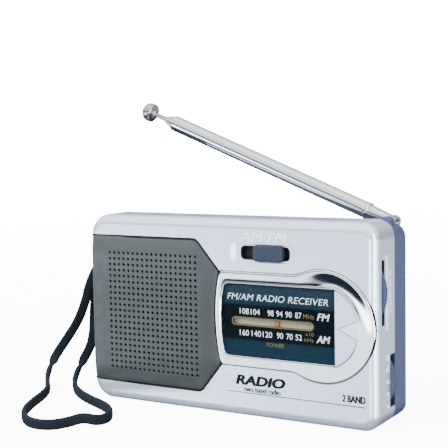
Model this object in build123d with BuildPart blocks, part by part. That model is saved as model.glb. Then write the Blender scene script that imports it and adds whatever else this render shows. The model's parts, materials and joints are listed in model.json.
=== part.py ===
from build123d import *
import os
from math import atan2, cos, degrees, pi, radians, sin, sqrt, tan

# Pocket two-band radio. Millimetres. X to the right, Y from the front to the back, Z up.
# The origin is at the middle of the flat base that the radio stands on.

os.makedirs("parts", exist_ok=True)

# Case
WIDTH = 120.0
HEIGHT = 72.0
FRONT_Y = -14.5
SEAM_Y = 1.0
REAR_Y = 12.2
HUMP_Y = 14.5
LEFT_CORNER_R = 8.0
RIGHT_CORNER_R = 6.0
FRONT_EDGE_R = 3.6
FRONT_WALL = 2.5
REAR_WALL = 1.8
REAR_SHOULDER_R = 9.0
BASE_EDGE_R = 2.0
GAP = 0.2
INNER_Y = FRONT_Y + FRONT_WALL
CAVITY_Y = REAR_Y - REAR_WALL

# Speaker grille
GRILLE_THICK = 1.6
GRILLE_RETURN_Y = -6.0
GRILLE_GROOVE = 0.6
HOLE_R = 0.44
HOLE_COLUMNS = 19
HOLE_ROWS = 21
HOLE_PITCH_X = 2.14
HOLE_PITCH_Z = 2.21
HOLES_X = -30.5
HOLES_Z = 35.4
BAFFLE_Y = -11.7

# Speaker
SPEAKER_X = -31.0
SPEAKER_Z = 35.4
SPEAKER_R = 25.0
MAGNET_R = 12.5

# Dial
BEZEL_TOP_Z = 53.0
BEZEL_BASE_Z = 18.6
BEZEL_FRONT_Y = FRONT_Y - 0.8
BEZEL_BACK_Y = FRONT_Y + 0.9
EYE_X = 39.5
EYE_Z = 35.5
EYE_R = 19.9
WINDOW_LEFT = 0.3
WINDOW_RIGHT = 43.9
WINDOW_BASE_Z = 22.4
WINDOW_TOP_Z = 48.6
TRIM_R = 14.3
DIAL_PLATE_Y = BEZEL_BACK_Y
DIAL_PLATE_THICK = 0.6
SCALE_Z = 35.0
SCALE_LEFT = 3.6
SCALE_RIGHT = 35.6
SCALE_SLOT_H = 2.3

# Tuning drive
TUNING_X = 46.0
TUNING_Z = 47.7
TUNING_WHEEL_R = 15.3
TUNING_WHEEL_Y = (-10.2, -8.4)
DRUM_CORD_R = 8.75
CORD_R = 0.35
CORD_Y = -6.9
IDLER_X = -0.6
IDLER_CORD_R = 2.9
IDLER_Z = TUNING_Z - DRUM_CORD_R + IDLER_CORD_R
DRIVE_Y = (-8.2, -5.6)
SPINDLE_R = 1.5
POINTER_X = 21.1
RAIL_R = 0.7
RAIL_Y = -7.1
RAIL_Z = 35.9
RUNNING_GAP = 0.05
NOTCH_R = 0.35

# Volume control
VOLUME_X = 49.8
VOLUME_Z = 16.1
VOLUME_WHEEL_R = 11.5
VOLUME_WHEEL_Y = (-3.1, -0.1)

# Band switch
BAND_X = 17.2
BAND_Z = 59.9
BAND_SLOT = (19.4, 4.7)
BAND_SLOT_R = 1.5
DISH_X = (3.3, 29.4)
DISH_HEIGHT = 6.6
DISH_DEPTH = 0.8
DISH_R = 2.0
DISH_RAMP = 2.1
GRIP_X = (12.9, 24.7)
GRIP_HEIGHT = 5.8

# Circuit board
BOARD_Y = (-5.2, -4.0)
BOARD_X = (-3.5, 57.0)
BOARD_Z = (4.0, 65.0)
IF_CANS = [(22.0, 50.0), (31.0, 50.0), (31.0, 41.4)]
CAPACITORS = [
    # x, z, radius, height
    (1.0, 41.6, 2.5, 7.0),
    (8.0, 41.6, 2.5, 7.0),
    (16.2, 41.4, 3.15, 8.0),
    (43.0, 33.0, 3.15, 8.0),
]
RESISTORS = [(6.0, 12.0), (12.0, 12.0), (18.0, 12.0), (24.0, 12.0), (30.0, 12.0), (36.0, 20.0)]
RESISTOR_Y = -6.2

# Earphone socket
SOCKET_Y = 5.6
SOCKET_Z = 14.0
SOCKET_R = 1.8
SOCKET_DEPTH = 12.0

# Ferrite aerial
AERIAL_Y = 0.2
AERIAL_Z = 59.2

# Battery bay
CELL_R = 7.1
CELL_Y = 5.9
CELL_Z = (11.1, 28.0)
CELL_LENGTH = 49.5
HUMP_R = HUMP_Y - CELL_Y
BAY_X = (-17.2, 36.4)
BAY_Z = (3.2, 36.0)
BAY_FRONT_Y = -1.8
BAY_WALL = 1.2
BAY_RIM = 2.0
DOOR_X = (-18.6, 37.8)
DOOR_Z = (2.6, 37.0)
DOOR_HINGE_Y = 11.35
DOOR_HINGE_Z = 3.45
DOOR_PIN_R = 0.5
DOOR_PIN_REACH = 1.0
DOOR_EDGE_R = 0.8

# Antenna
PIVOT_X = 56.0
PIVOT_Y = 8.5
PIVOT_Z = 70.5
ANTENNA_RISE = 21.8
CHANNEL_Y = 2.5
CHANNEL_Z = 65.2
CHEEK = 1.4
SECTION_R = (3.0, 2.5, 2.0, 1.5)
SECTION_WALL = 0.4
TUBE_START = 10.6
TUBE_END = 97.9
STAGGER = 1.3
ROD_R = 0.95
TIP_R = 3.6
TIP_LENGTH = 5.6
TIP_START = 107.0

# Wrist strap, one loop of flat webbing that starts and ends at its lug
STRAP_R = 2.0
LUG_Y = 4.6
LUG_Z = 57.0
STRAP_ROUTE = [
    (-61.9, 3.4, 56.0),
    (-65.0, 2.6, 53.4),
    (-69.2, 1.6, 48.2),
    (-72.0, 0.4, 42.0),
    (-73.4, -0.8, 34.6),
    (-76.6, -1.9, 26.6),
    (-82.6, -2.6, 18.4),
    (-87.6, -3.6, 11.6),
    (-88.8, -7.4, 5.2),
    (-84.4, -13.2, 2.3),
    (-77.6, -20.4, 2.2),
    (-72.6, -30.8, 2.2),
    (-68.0, -43.0, 2.2),
    (-61.6, -54.6, 2.2),
    (-51.8, -62.6, 2.2),
    (-43.0, -62.0, 2.2),
    (-39.4, -55.4, 2.3),
    (-36.2, -51.4, 3.4),
    (-31.8, -49.6, 2.3),
    (-30.6, -44.8, 2.2),
    (-33.4, -38.6, 2.2),
    (-40.6, -32.2, 2.2),
    (-51.4, -27.0, 2.2),
    (-62.6, -20.4, 2.2),
    (-71.6, -12.0, 2.6),
    (-76.2, -4.6, 5.4),
    (-75.0, -0.6, 11.0),
    (-71.9, 0.8, 17.4),
    (-71.4, 2.0, 25.0),
    (-72.2, 3.4, 33.6),
    (-70.6, 4.8, 42.4),
    (-66.4, 5.6, 50.4),
    (-62.2, 5.8, 55.6),
]

# Fasteners
CASE_SCREWS = [(-54.5, 62.0), (-54.5, 6.5), (33.0, 61.5), (40.8, 4.8)]
BOARD_SCREWS = [(1.5, 8.0), (1.5, 50.5), (54.0, 29.8)]
CASE_SCREW_R = 1.1
BOARD_SCREW_R = 0.9


# ---------------------------------------------------------------- planes and shared shapes


def facing_front(y):
    """A sketch plane at depth y, drawn as the front is seen: X across and Z up."""
    return Plane.XZ.offset(-y)


def from_side(x):
    """A sketch plane at x, drawn with Y across and Z up."""
    return Plane.YZ.offset(x)


def antenna_plane(distance):
    """The plane square to the antenna, at a distance from its pivot."""
    rise = radians(ANTENNA_RISE)
    along = Vector(-cos(rise), 0, sin(rise))
    return Plane(
        origin=Vector(PIVOT_X, PIVOT_Y, PIVOT_Z) + along * distance,
        x_dir=(0, 1, 0),
        z_dir=along,
    )


def disc(x, z, radius, y_from, y_to):
    """A cylinder along Y, joined to the part being built."""
    with BuildSketch(facing_front(y_to)) as face:
        with Locations((x, z)):
            Circle(radius)
    extrude(to_extrude=face.sketch, amount=y_to - y_from)


def drill(x, z, radius, y_from, y_to):
    """A round hole along Y, cut from the part being built."""
    with BuildSketch(facing_front(y_to)) as face:
        with Locations((x, z)):
            Circle(radius)
    extrude(to_extrude=face.sketch, amount=y_to - y_from, mode=Mode.SUBTRACT)


def block(x_span, y_span, z_span, mode=Mode.ADD):
    """A box between three pairs of limits."""
    middle = [(span[0] + span[1]) / 2 for span in (x_span, y_span, z_span)]
    with Locations(tuple(middle)):
        Box(
            x_span[1] - x_span[0],
            y_span[1] - y_span[0],
            z_span[1] - z_span[0],
            mode=mode,
        )


def save(part, name):
    """Labels a finished piece and writes it."""
    part.label = name
    export_step(part, f"parts/{name}.step")


def case_outline(y, inset=0.0):
    """Front view of the case, drawn in by inset all round."""
    with BuildSketch(facing_front(y)) as outline:
        with Locations((0, HEIGHT / 2)):
            Rectangle(WIDTH - 2 * inset, HEIGHT - 2 * inset)
        fillet(outline.vertices().group_by(Axis.X)[0], LEFT_CORNER_R - inset)
        fillet(outline.vertices().group_by(Axis.X)[-1], RIGHT_CORNER_R - inset)
    return outline.sketch


def front_blank(inset, back_y):
    """The front half of the case as a solid lump, drawn in by inset."""
    start = FRONT_Y + inset
    with BuildPart() as blank:
        extrude(to_extrude=case_outline(start, inset), amount=start - back_y)
        fillet(blank.faces().sort_by(Axis.Y)[0].edges(), FRONT_EDGE_R - inset)
    return blank.part


def grille_outline(y, grow=0.0):
    """Front view of the speaker grille, which runs off the left edge of the case."""
    past_edge = -WIDTH / 2 - 4
    with BuildSketch(facing_front(y)) as outline:
        with BuildLine():
            Polyline(
                (-1.3, 18.6),
                (-9.9, 7.8),
                (past_edge, 7.8),
                (past_edge, 63.8),
                (-11.2, 63.8),
                (-1.7, 52.6),
            )
            ThreePointArc((-1.7, 52.6), (-3.7, 36.5), (-1.3, 18.6))
        make_face()
        blunt = outline.vertices().filter_by_position(Axis.X, -12, -9)
        fillet(blunt, 3.0)
        if grow:
            offset(amount=grow)
    return outline.sketch


def bezel_outline(y, grow=0.0):
    """Front view of the dial bezel: a bar on the left that swells into a round eye."""
    with BuildSketch(facing_front(y)) as outline:
        with BuildLine():
            Polyline((-0.7, BEZEL_BASE_Z), (EYE_X, BEZEL_BASE_Z), (EYE_X, BEZEL_TOP_Z), (-0.9, BEZEL_TOP_Z))
            ThreePointArc((-0.9, BEZEL_TOP_Z), (-2.9, 36.5), (-0.7, BEZEL_BASE_Z))
        make_face()
        with Locations((EYE_X, EYE_Z)):
            Circle(EYE_R)
        neck = outline.vertices().filter_by_position(Axis.X, 20, EYE_X)
        fillet(neck, 9.0)
        if grow:
            offset(amount=grow)
    return outline.sketch


def window_outline(y, grow=0.0):
    """Front view of the dial window, bowed on the left and straight on the right."""
    with BuildSketch(facing_front(y)) as outline:
        with BuildLine():
            Polyline(
                (WINDOW_LEFT, WINDOW_BASE_Z),
                (WINDOW_RIGHT, WINDOW_BASE_Z),
                (WINDOW_RIGHT, WINDOW_TOP_Z),
                (WINDOW_LEFT, WINDOW_TOP_Z),
            )
            ThreePointArc(
                (WINDOW_LEFT, WINDOW_TOP_Z),
                (WINDOW_LEFT - 1.2, 35.5),
                (WINDOW_LEFT, WINDOW_BASE_Z),
            )
        make_face()
        fillet(outline.vertices().group_by(Axis.X)[0], 2.0)
        if grow:
            offset(amount=grow)
    return outline.sketch


def trim_outline(y, grow=0.0):
    """Front view of the plain trim right of the window: a half disc with a wedge out of it."""
    with BuildSketch(facing_front(y)) as outline:
        with Locations((EYE_X - 0.5, EYE_Z - 0.2)):
            Circle(TRIM_R)
        with Locations((WINDOW_RIGHT + 0.5, EYE_Z)):
            Rectangle(40, 40, align=(Align.MAX, Align.CENTER), mode=Mode.SUBTRACT)
        with BuildLine():
            Polyline((45.6, 35.2), (60.0, 41.8), (60.0, 28.6), (45.6, 35.2))
        make_face(mode=Mode.SUBTRACT)
        if grow:
            offset(amount=grow)
    return outline.sketch


def rounded(y, x_span, centre_z, height, radius):
    """A rectangle with rounded corners, between two limits in X."""
    with BuildSketch(facing_front(y)) as outline:
        with Locations(((x_span[0] + x_span[1]) / 2, centre_z)):
            RectangleRounded(x_span[1] - x_span[0], height, radius)
    return outline.sketch


def stadium(y, centre_x, centre_z, length, height):
    """A slot shape with round ends, long in X."""
    with BuildSketch(facing_front(y)) as outline:
        with Locations((centre_x, centre_z)):
            SlotOverall(length, height)
    return outline.sketch


# ---------------------------------------------------------------- front shell

with BuildPart() as front_shell:
    add(front_blank(0, SEAM_Y))
    add(front_blank(FRONT_WALL, SEAM_Y + 1), mode=Mode.SUBTRACT)
    # Bosses and standoffs behind the front wall
    for boss_x, boss_z in CASE_SCREWS:
        disc(boss_x, boss_z, 2.4, INNER_Y - 0.5, SEAM_Y - 0.1)
    for boss_x, boss_z in BOARD_SCREWS:
        disc(boss_x, boss_z, 2.2, INNER_Y - 0.5, BOARD_Y[0])
    # Rim that the speaker sits in
    disc(SPEAKER_X, SPEAKER_Z, SPEAKER_R + 1.0, INNER_Y - 0.5, BAFFLE_Y + 1.6)
    drill(SPEAKER_X, SPEAKER_Z, SPEAKER_R + 0.2, BAFFLE_Y, BAFFLE_Y + 2)
    drill(SPEAKER_X, SPEAKER_Z, 22.5, FRONT_Y, BAFFLE_Y + 1)
    for boss_x, boss_z in CASE_SCREWS:
        drill(boss_x, boss_z, CASE_SCREW_R + RUNNING_GAP, -8.0, SEAM_Y)
    for boss_x, boss_z in BOARD_SCREWS:
        drill(boss_x, boss_z, BOARD_SCREW_R + RUNNING_GAP, -10.5, BOARD_Y[0])
    # Bezel pocket, dial plate pocket and the slot that the pointer moves in
    extrude(to_extrude=bezel_outline(BEZEL_BACK_Y, GAP), amount=5, mode=Mode.SUBTRACT)
    extrude(
        to_extrude=window_outline(DIAL_PLATE_Y + DIAL_PLATE_THICK, 0.6),
        amount=DIAL_PLATE_THICK + 1,
        mode=Mode.SUBTRACT,
    )
    block((2.6, 37.2), (-14, INNER_Y + 0.5), (31.4, 37.2), mode=Mode.SUBTRACT)
    # Band switch dish, with a ramp at its left end, and slot
    dish_floor_y = FRONT_Y + DISH_DEPTH
    dish_prism = extrude(
        to_extrude=rounded(dish_floor_y, DISH_X, BAND_Z, DISH_HEIGHT, DISH_R), amount=2, mode=Mode.PRIVATE
    )
    with BuildSketch(Plane.XY.offset(BAND_Z - DISH_HEIGHT)) as ramp:
        with BuildLine():
            Polyline(
                (DISH_X[0], FRONT_Y),
                (DISH_X[0] + DISH_RAMP, dish_floor_y),
                (DISH_X[0], dish_floor_y),
                (DISH_X[0], FRONT_Y),
            )
        make_face()
    ramp_prism = extrude(to_extrude=ramp.sketch, amount=2 * DISH_HEIGHT, mode=Mode.PRIVATE)
    add(dish_prism - ramp_prism, mode=Mode.SUBTRACT)
    slot_span = (BAND_X - BAND_SLOT[0] / 2, BAND_X + BAND_SLOT[0] / 2)
    extrude(
        to_extrude=rounded(INNER_Y + 1, slot_span, BAND_Z, BAND_SLOT[1], BAND_SLOT_R),
        amount=5,
        mode=Mode.SUBTRACT,
    )
    # Wheel slots in the right side
    block((56, 62), (-10.7, -7.9), (36.5, 59.0), mode=Mode.SUBTRACT)
    block((56, 62), (-3.4, SEAM_Y + 1), (7.0, 25.6), mode=Mode.SUBTRACT)
    # Pocket that the grille lies in, with a bare baffle left behind it
    grille_prism = extrude(
        to_extrude=grille_outline(GRILLE_RETURN_Y + GAP, GRILLE_GROOVE), amount=12, mode=Mode.PRIVATE
    )
    pocket = grille_prism - front_blank(GRILLE_THICK, SEAM_Y)
    add(pocket, mode=Mode.SUBTRACT)
save(front_shell.part, "front_shell")

with BuildPart() as speaker_grille:
    add(front_blank(0, GRILLE_RETURN_Y))
    extrude(to_extrude=grille_outline(GRILLE_RETURN_Y), amount=12, mode=Mode.INTERSECT)
    add(front_blank(GRILLE_THICK, SEAM_Y), mode=Mode.SUBTRACT)
    with BuildSketch(facing_front(INNER_Y)) as hole_field:
        with Locations((HOLES_X, HOLES_Z)):
            with GridLocations(HOLE_PITCH_X, HOLE_PITCH_Z, HOLE_COLUMNS, HOLE_ROWS):
                Circle(HOLE_R)
    extrude(to_extrude=hole_field.sketch, amount=5, mode=Mode.SUBTRACT)
save(speaker_grille.part, "speaker_grille")

with BuildPart() as grille_scrim:
    disc(SPEAKER_X, SPEAKER_Z, 22.3, FRONT_Y + GRILLE_THICK + 0.05, FRONT_Y + GRILLE_THICK + 0.3)
save(grille_scrim.part, "grille_scrim")

# ---------------------------------------------------------------- dial

with BuildPart() as dial_bezel:
    extrude(to_extrude=bezel_outline(BEZEL_BACK_Y), amount=BEZEL_BACK_Y - BEZEL_FRONT_Y)
    fillet(dial_bezel.faces().sort_by(Axis.Y)[0].edges(), 0.7)
    extrude(to_extrude=window_outline(BEZEL_BACK_Y), amount=5, mode=Mode.SUBTRACT)
    extrude(to_extrude=trim_outline(BEZEL_BACK_Y), amount=5, mode=Mode.SUBTRACT)
save(dial_bezel.part, "dial_bezel")

with BuildPart() as bezel_trim:
    extrude(to_extrude=trim_outline(BEZEL_BACK_Y, -0.12), amount=1.2)
save(bezel_trim.part, "bezel_trim")

with BuildPart() as dial_lens:
    extrude(to_extrude=window_outline(BEZEL_BACK_Y, -0.1), amount=0.9)
save(dial_lens.part, "dial_lens")

with BuildPart() as dial_plate:
    extrude(to_extrude=window_outline(DIAL_PLATE_Y + DIAL_PLATE_THICK, 0.4), amount=DIAL_PLATE_THICK)
    slot_middle = (SCALE_LEFT + SCALE_RIGHT) / 2
    extrude(
        to_extrude=stadium(INNER_Y, slot_middle, SCALE_Z, SCALE_RIGHT - SCALE_LEFT, SCALE_SLOT_H),
        amount=5,
        mode=Mode.SUBTRACT,
    )
save(dial_plate.part, "dial_plate")

with BuildPart() as scale_backing:
    block((0.6, 39.2), (INNER_Y, INNER_Y + 0.6), (33.3, 37.1))
save(scale_backing.part, "scale_backing")

with BuildPart() as power_lamp:
    disc(20.8, 26.4, 1.5, -10.6, -8.2)
    with Locations((20.8, -10.6, 26.4)):
        Sphere(1.35)
    for lead_x in (20.1, 21.5):
        disc(lead_x, 26.4, 0.25, -8.3, BOARD_Y[0])
save(power_lamp.part, "power_lamp")

# ---------------------------------------------------------------- back cover and battery door


def rear_profile(x):
    """Side view of the rear half: two battery humps, a flat back and a rounded shoulder."""
    lift = sqrt(HUMP_R**2 - (REAR_Y - CELL_Y) ** 2)
    shoulder_z = HEIGHT - 0.7 - REAR_SHOULDER_R
    diagonal = REAR_SHOULDER_R * sin(radians(45))
    with BuildSketch(from_side(x)) as outline:
        with BuildLine():
            Line((SEAM_Y, 0), (REAR_Y - BASE_EDGE_R, 0))
            Line((REAR_Y - BASE_EDGE_R, 0), (REAR_Y, BASE_EDGE_R))
            Line((REAR_Y, BASE_EDGE_R), (REAR_Y, CELL_Z[0] - lift))
            ThreePointArc((REAR_Y, CELL_Z[0] - lift), (HUMP_Y, CELL_Z[0]), (REAR_Y, CELL_Z[0] + lift))
            Line((REAR_Y, CELL_Z[0] + lift), (REAR_Y, CELL_Z[1] - lift))
            ThreePointArc((REAR_Y, CELL_Z[1] - lift), (HUMP_Y, CELL_Z[1]), (REAR_Y, CELL_Z[1] + lift))
            Line((REAR_Y, CELL_Z[1] + lift), (REAR_Y, shoulder_z))
            ThreePointArc(
                (REAR_Y, shoulder_z),
                (REAR_Y - REAR_SHOULDER_R + diagonal, shoulder_z + diagonal),
                (REAR_Y - REAR_SHOULDER_R, shoulder_z + REAR_SHOULDER_R),
            )
            Line((REAR_Y - REAR_SHOULDER_R, shoulder_z + REAR_SHOULDER_R), (SEAM_Y, HEIGHT - 0.7))
            Line((SEAM_Y, HEIGHT - 0.7), (SEAM_Y, 0))
        make_face()
        valleys = outline.vertices().filter_by_position(Axis.X, REAR_Y - 0.1, REAR_Y + 0.1)
        fillet(valleys.filter_by_position(Axis.Y, 4, 40), 3.0)
    return outline.sketch


def rear_blank():
    """The rear half of the case as a solid lump."""
    with BuildPart() as blank:
        extrude(to_extrude=rear_profile(-WIDTH / 2), amount=WIDTH)
        extrude(to_extrude=case_outline(SEAM_Y), amount=-20, mode=Mode.INTERSECT)
        with BuildSketch(Plane.XY) as plan:
            with Locations((0, 0)):
                Rectangle(WIDTH, 2 * HUMP_Y + 1)
            fillet(plan.vertices().group_by(Axis.Y)[-1], 4.0)
        extrude(to_extrude=plan.sketch, amount=HEIGHT + 1, mode=Mode.INTERSECT)
    return blank.part


with BuildPart() as back_cover:
    add(rear_blank())
    # Hollow inside, with the antenna channel stepped into its top
    block(
        (-WIDTH / 2 + REAR_WALL, WIDTH / 2 - REAR_WALL),
        (SEAM_Y - 1, CAVITY_Y),
        (REAR_WALL, CHANNEL_Z - REAR_WALL),
        mode=Mode.SUBTRACT,
    )
    block(
        (-WIDTH / 2 + CHEEK, WIDTH / 2 - CHEEK),
        (CHANNEL_Y, HUMP_Y + 1),
        (CHANNEL_Z, HEIGHT + 1),
        mode=Mode.SUBTRACT,
    )
    # Battery bay
    bay_outside_x = (BAY_X[0] - BAY_WALL, BAY_X[1] + BAY_WALL)
    block(bay_outside_x, (BAY_FRONT_Y - BAY_WALL, CAVITY_Y + 0.5), (FRONT_WALL + 0.2, BAY_Z[1] + BAY_WALL))
    block(bay_outside_x, (SEAM_Y, CAVITY_Y + 0.5), (REAR_WALL - 0.5, FRONT_WALL + 0.5))
    # Rim that joins the bay to the back wall and that the door rests on
    block(
        (BAY_X[0] - BAY_RIM, BAY_X[1] + BAY_RIM),
        (CAVITY_Y - BAY_RIM, CAVITY_Y + 0.5),
        (REAR_WALL - 0.5, BAY_Z[1] + BAY_RIM),
    )
    block(BAY_X, (BAY_FRONT_Y, HUMP_Y + 1), BAY_Z, mode=Mode.SUBTRACT)
    block((8.4, 10.8), (BAY_FRONT_Y - 0.5, CELL_Y - CELL_R - 0.1), BAY_Z)
    block(
        (DOOR_X[0] - GAP, DOOR_X[1] + GAP),
        (CAVITY_Y, HUMP_Y + 1),
        (DOOR_Z[0] - GAP, DOOR_Z[1] + GAP),
        mode=Mode.SUBTRACT,
    )
    # Sockets for the door's two hinge pins
    with BuildSketch(from_side(DOOR_X[0] - DOOR_PIN_REACH - GAP)) as door_sockets:
        with Locations((DOOR_HINGE_Y, DOOR_HINGE_Z)):
            Circle(DOOR_PIN_R + RUNNING_GAP)
    pin_span = DOOR_X[1] - DOOR_X[0] + 2 * (DOOR_PIN_REACH + GAP)
    extrude(to_extrude=door_sockets.sketch, amount=pin_span, mode=Mode.SUBTRACT)
    # Screw tubes
    for boss_x, boss_z in CASE_SCREWS:
        disc(boss_x, boss_z, 2.7, SEAM_Y, CAVITY_Y + 0.5)
    for boss_x, boss_z in CASE_SCREWS:
        drill(boss_x, boss_z, CASE_SCREW_R + 0.2, SEAM_Y - 1, REAR_Y)
        drill(boss_x, boss_z, 2.25, 5.5, HUMP_Y + 1)
    # Boss that carries the antenna, and the hole for the earphone jack
    disc(PIVOT_X, PIVOT_Z, 2.2, CHANNEL_Y - 0.5, 5.4)
    drill(PIVOT_X, PIVOT_Z, 1.2, CHANNEL_Y - 3, 6)
    with BuildSketch(from_side(-WIDTH / 2 - 1)) as jack_hole:
        with Locations((SOCKET_Y, SOCKET_Z)):
            Circle(3.1)
    extrude(to_extrude=jack_hole.sketch, amount=6, mode=Mode.SUBTRACT)
save(back_cover.part, "back_cover")

with BuildPart() as battery_door:
    add(rear_blank())
    block(DOOR_X, (CAVITY_Y + 0.1, HUMP_Y + 1), DOOR_Z, mode=Mode.INTERSECT)
    with BuildSketch(from_side(BAY_X[0])) as cell_grooves:
        for cell_z in CELL_Z:
            with Locations((CELL_Y, cell_z)):
                Circle(CELL_R + 0.25)
    extrude(to_extrude=cell_grooves.sketch, amount=BAY_X[1] - BAY_X[0], mode=Mode.SUBTRACT)
    # Lower edge rounded about the hinge, with a pin at each end
    long_edges = battery_door.edges().filter_by(Axis.X)
    lower_edges = long_edges.filter_by_position(Axis.Z, DOOR_Z[0] - 0.01, DOOR_Z[0] + 0.01)
    fillet(lower_edges, DOOR_EDGE_R)
    with BuildSketch(from_side(DOOR_X[0] - DOOR_PIN_REACH)) as hinge_pin:
        with Locations((DOOR_HINGE_Y, DOOR_HINGE_Z)):
            Circle(DOOR_PIN_R)
    extrude(to_extrude=hinge_pin.sketch, amount=DOOR_PIN_REACH)
    with BuildSketch(from_side(DOOR_X[1])) as far_pin:
        with Locations((DOOR_HINGE_Y, DOOR_HINGE_Z)):
            Circle(DOOR_PIN_R)
    extrude(to_extrude=far_pin.sketch, amount=DOOR_PIN_REACH)
save(battery_door.part, "battery_door")

# ---------------------------------------------------------------- speaker

speaker_axis = Axis((SPEAKER_X, 0, SPEAKER_Z), (0, 1, 0))

with BuildPart() as speaker_basket:
    with BuildSketch(Plane.XY.offset(SPEAKER_Z)):
        with BuildLine():
            Polyline(
                (SPEAKER_X + SPEAKER_R, BAFFLE_Y),
                (SPEAKER_X + SPEAKER_R, BAFFLE_Y + 0.8),
                (SPEAKER_X + 22.6, BAFFLE_Y + 0.8),
                (SPEAKER_X + 12.6, -4.4),
                (SPEAKER_X + 4.0, -4.4),
                (SPEAKER_X + 4.0, -5.0),
                (SPEAKER_X + 12.2, -5.0),
                (SPEAKER_X + 21.8, BAFFLE_Y),
                (SPEAKER_X + SPEAKER_R, BAFFLE_Y),
            )
        make_face()
    revolve(axis=speaker_axis)
    # Windows in the steel cone
    for turn in range(4):
        angle = radians(45 + 90 * turn)
        drill(SPEAKER_X + 17.2 * cos(angle), SPEAKER_Z + 17.2 * sin(angle), 3.2, -10.4, -4.0)
save(speaker_basket.part, "speaker_basket")

with BuildPart() as speaker_cone:
    with BuildSketch(Plane.XY.offset(SPEAKER_Z)):
        with BuildLine():
            Polyline(
                (SPEAKER_X + 21.4, BAFFLE_Y),
                (SPEAKER_X + 20.4, BAFFLE_Y),
                (SPEAKER_X + 6.0, -6.4),
                (SPEAKER_X, -7.4),
                (SPEAKER_X, -6.9),
                (SPEAKER_X + 6.0, -5.9),
                (SPEAKER_X + 21.4, BAFFLE_Y),
            )
        make_face()
    revolve(axis=speaker_axis)
save(speaker_cone.part, "speaker_cone")

with BuildPart() as speaker_magnet:
    disc(SPEAKER_X, SPEAKER_Z, MAGNET_R, -4.4, 0.6)
    disc(SPEAKER_X, SPEAKER_Z, MAGNET_R - 1.0, 0.6, 1.8)
    fillet(speaker_magnet.faces().sort_by(Axis.Y)[-1].edges(), 0.5)
save(speaker_magnet.part, "speaker_magnet")

with BuildPart() as speaker_terminals:
    block((-16.6, -11.4), (-8.0, -7.2), (19.0, 24.6))
    for tag_z in (20.0, 22.6):
        block((-13.4, -10.2), (-7.2, -6.8), (tag_z, tag_z + 1.4))
    drill(SPEAKER_X, SPEAKER_Z, 18.9, -9.0, -6.0)
save(speaker_terminals.part, "speaker_terminals")

# ---------------------------------------------------------------- circuit board and its pieces

with BuildPart() as circuit_board:
    block(BOARD_X, BOARD_Y, BOARD_Z)
    fillet(circuit_board.edges().filter_by(Axis.Y), 2.0)
    drill(33.0, 61.5, 3.0, -6, -3)
    drill(TUNING_X, TUNING_Z, 3.3, -6, -3)
    drill(VOLUME_X, VOLUME_Z, 7.8, -6, -3)
    drill(40.8, 4.8, 3.0, -6, -3)
    for hole_x, hole_z in BOARD_SCREWS:
        drill(hole_x, hole_z, BOARD_SCREW_R + 0.1, -6, -3)
save(circuit_board.part, "circuit_board")

with BuildPart() as tuning_capacitor:
    block((TUNING_X - 10, TUNING_X + 10), (BOARD_Y[1], 2.2), (TUNING_Z - 10, TUNING_Z + 10))
    fillet(tuning_capacitor.edges().filter_by(Axis.Y), 1.2)
    disc(TUNING_X, TUNING_Z, 3.0, BOARD_Y[0], BOARD_Y[1])
    drill(TUNING_X, TUNING_Z, SPINDLE_R + RUNNING_GAP, BOARD_Y[0], -0.6)
    for trimmer_x in (TUNING_X - 5.5, TUNING_X + 5.5):
        for trimmer_z in (TUNING_Z - 5.5, TUNING_Z + 5.5):
            disc(trimmer_x, trimmer_z, 2.2, 2.2, 2.9)
save(tuning_capacitor.part, "tuning_capacitor")

with BuildPart() as volume_control:
    disc(VOLUME_X, VOLUME_Z, 7.4, -7.4, -3.4)
    drill(VOLUME_X, VOLUME_Z, SPINDLE_R + RUNNING_GAP, -6.4, -3.0)
    for lug_x in (VOLUME_X - 3.0, VOLUME_X, VOLUME_X + 3.0):
        block((lug_x - 0.6, lug_x + 0.6), (-6.0, -5.4), (VOLUME_Z + 6.4, VOLUME_Z + 9.6))
save(volume_control.part, "volume_control")

with BuildPart() as band_switch_body:
    block((8.0, 27.0), (-10.6, BOARD_Y[0]), (55.5, 64.3))
    block((11.6, 21.4), (-11.0, -8.4), (58.5, 61.3), mode=Mode.SUBTRACT)
save(band_switch_body.part, "band_switch_body")

with BuildPart() as ferrite_rod:
    with BuildSketch(from_side(-24.0)) as rod_end:
        with Locations((AERIAL_Y, AERIAL_Z)):
            Circle(4.0)
    extrude(to_extrude=rod_end.sketch, amount=52.0)
    chamfer(ferrite_rod.edges().filter_by(GeomType.CIRCLE), 0.4)
save(ferrite_rod.part, "ferrite_rod")

with BuildPart() as aerial_coil:
    for coil_x, coil_length in ((-17.0, 18.0), (10.0, 6.0)):
        with BuildSketch(from_side(coil_x)) as coil_end:
            with Locations((AERIAL_Y, AERIAL_Z)):
                Circle(4.19)
                Circle(4.05, mode=Mode.SUBTRACT)
        extrude(to_extrude=coil_end.sketch, amount=coil_length)
save(aerial_coil.part, "aerial_coil")

with BuildPart() as if_transformers:
    for can_x, can_z in IF_CANS:
        block((can_x - 3.5, can_x + 3.5), (BOARD_Y[1], 4.4), (can_z - 3.5, can_z + 3.5))
        drill(can_x, can_z, 2.2, 3.8, 5.0)
        disc(can_x, can_z, 2.0, 3.8, 4.2)
save(if_transformers.part, "if_transformers")

with BuildPart() as electrolytic_capacitors:
    for can_x, can_z, can_r, can_h in CAPACITORS:
        disc(can_x, can_z, can_r, BOARD_Y[1], BOARD_Y[1] + can_h)
    fillet(electrolytic_capacitors.faces().filter_by(Axis.Y).edges().filter_by(GeomType.CIRCLE), 0.4)
save(electrolytic_capacitors.part, "electrolytic_capacitors")

with BuildPart() as radio_chip:
    block((4.4, 17.4), (BOARD_Y[1] + 0.2, BOARD_Y[1] + 2.0), (47.8, 52.2))
    for leg in range(10):
        leg_x = 5.0 + leg * 1.27
        block((leg_x, leg_x + 0.4), (BOARD_Y[1], BOARD_Y[1] + 0.6), (46.4, 53.6))
save(radio_chip.part, "radio_chip")

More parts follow.
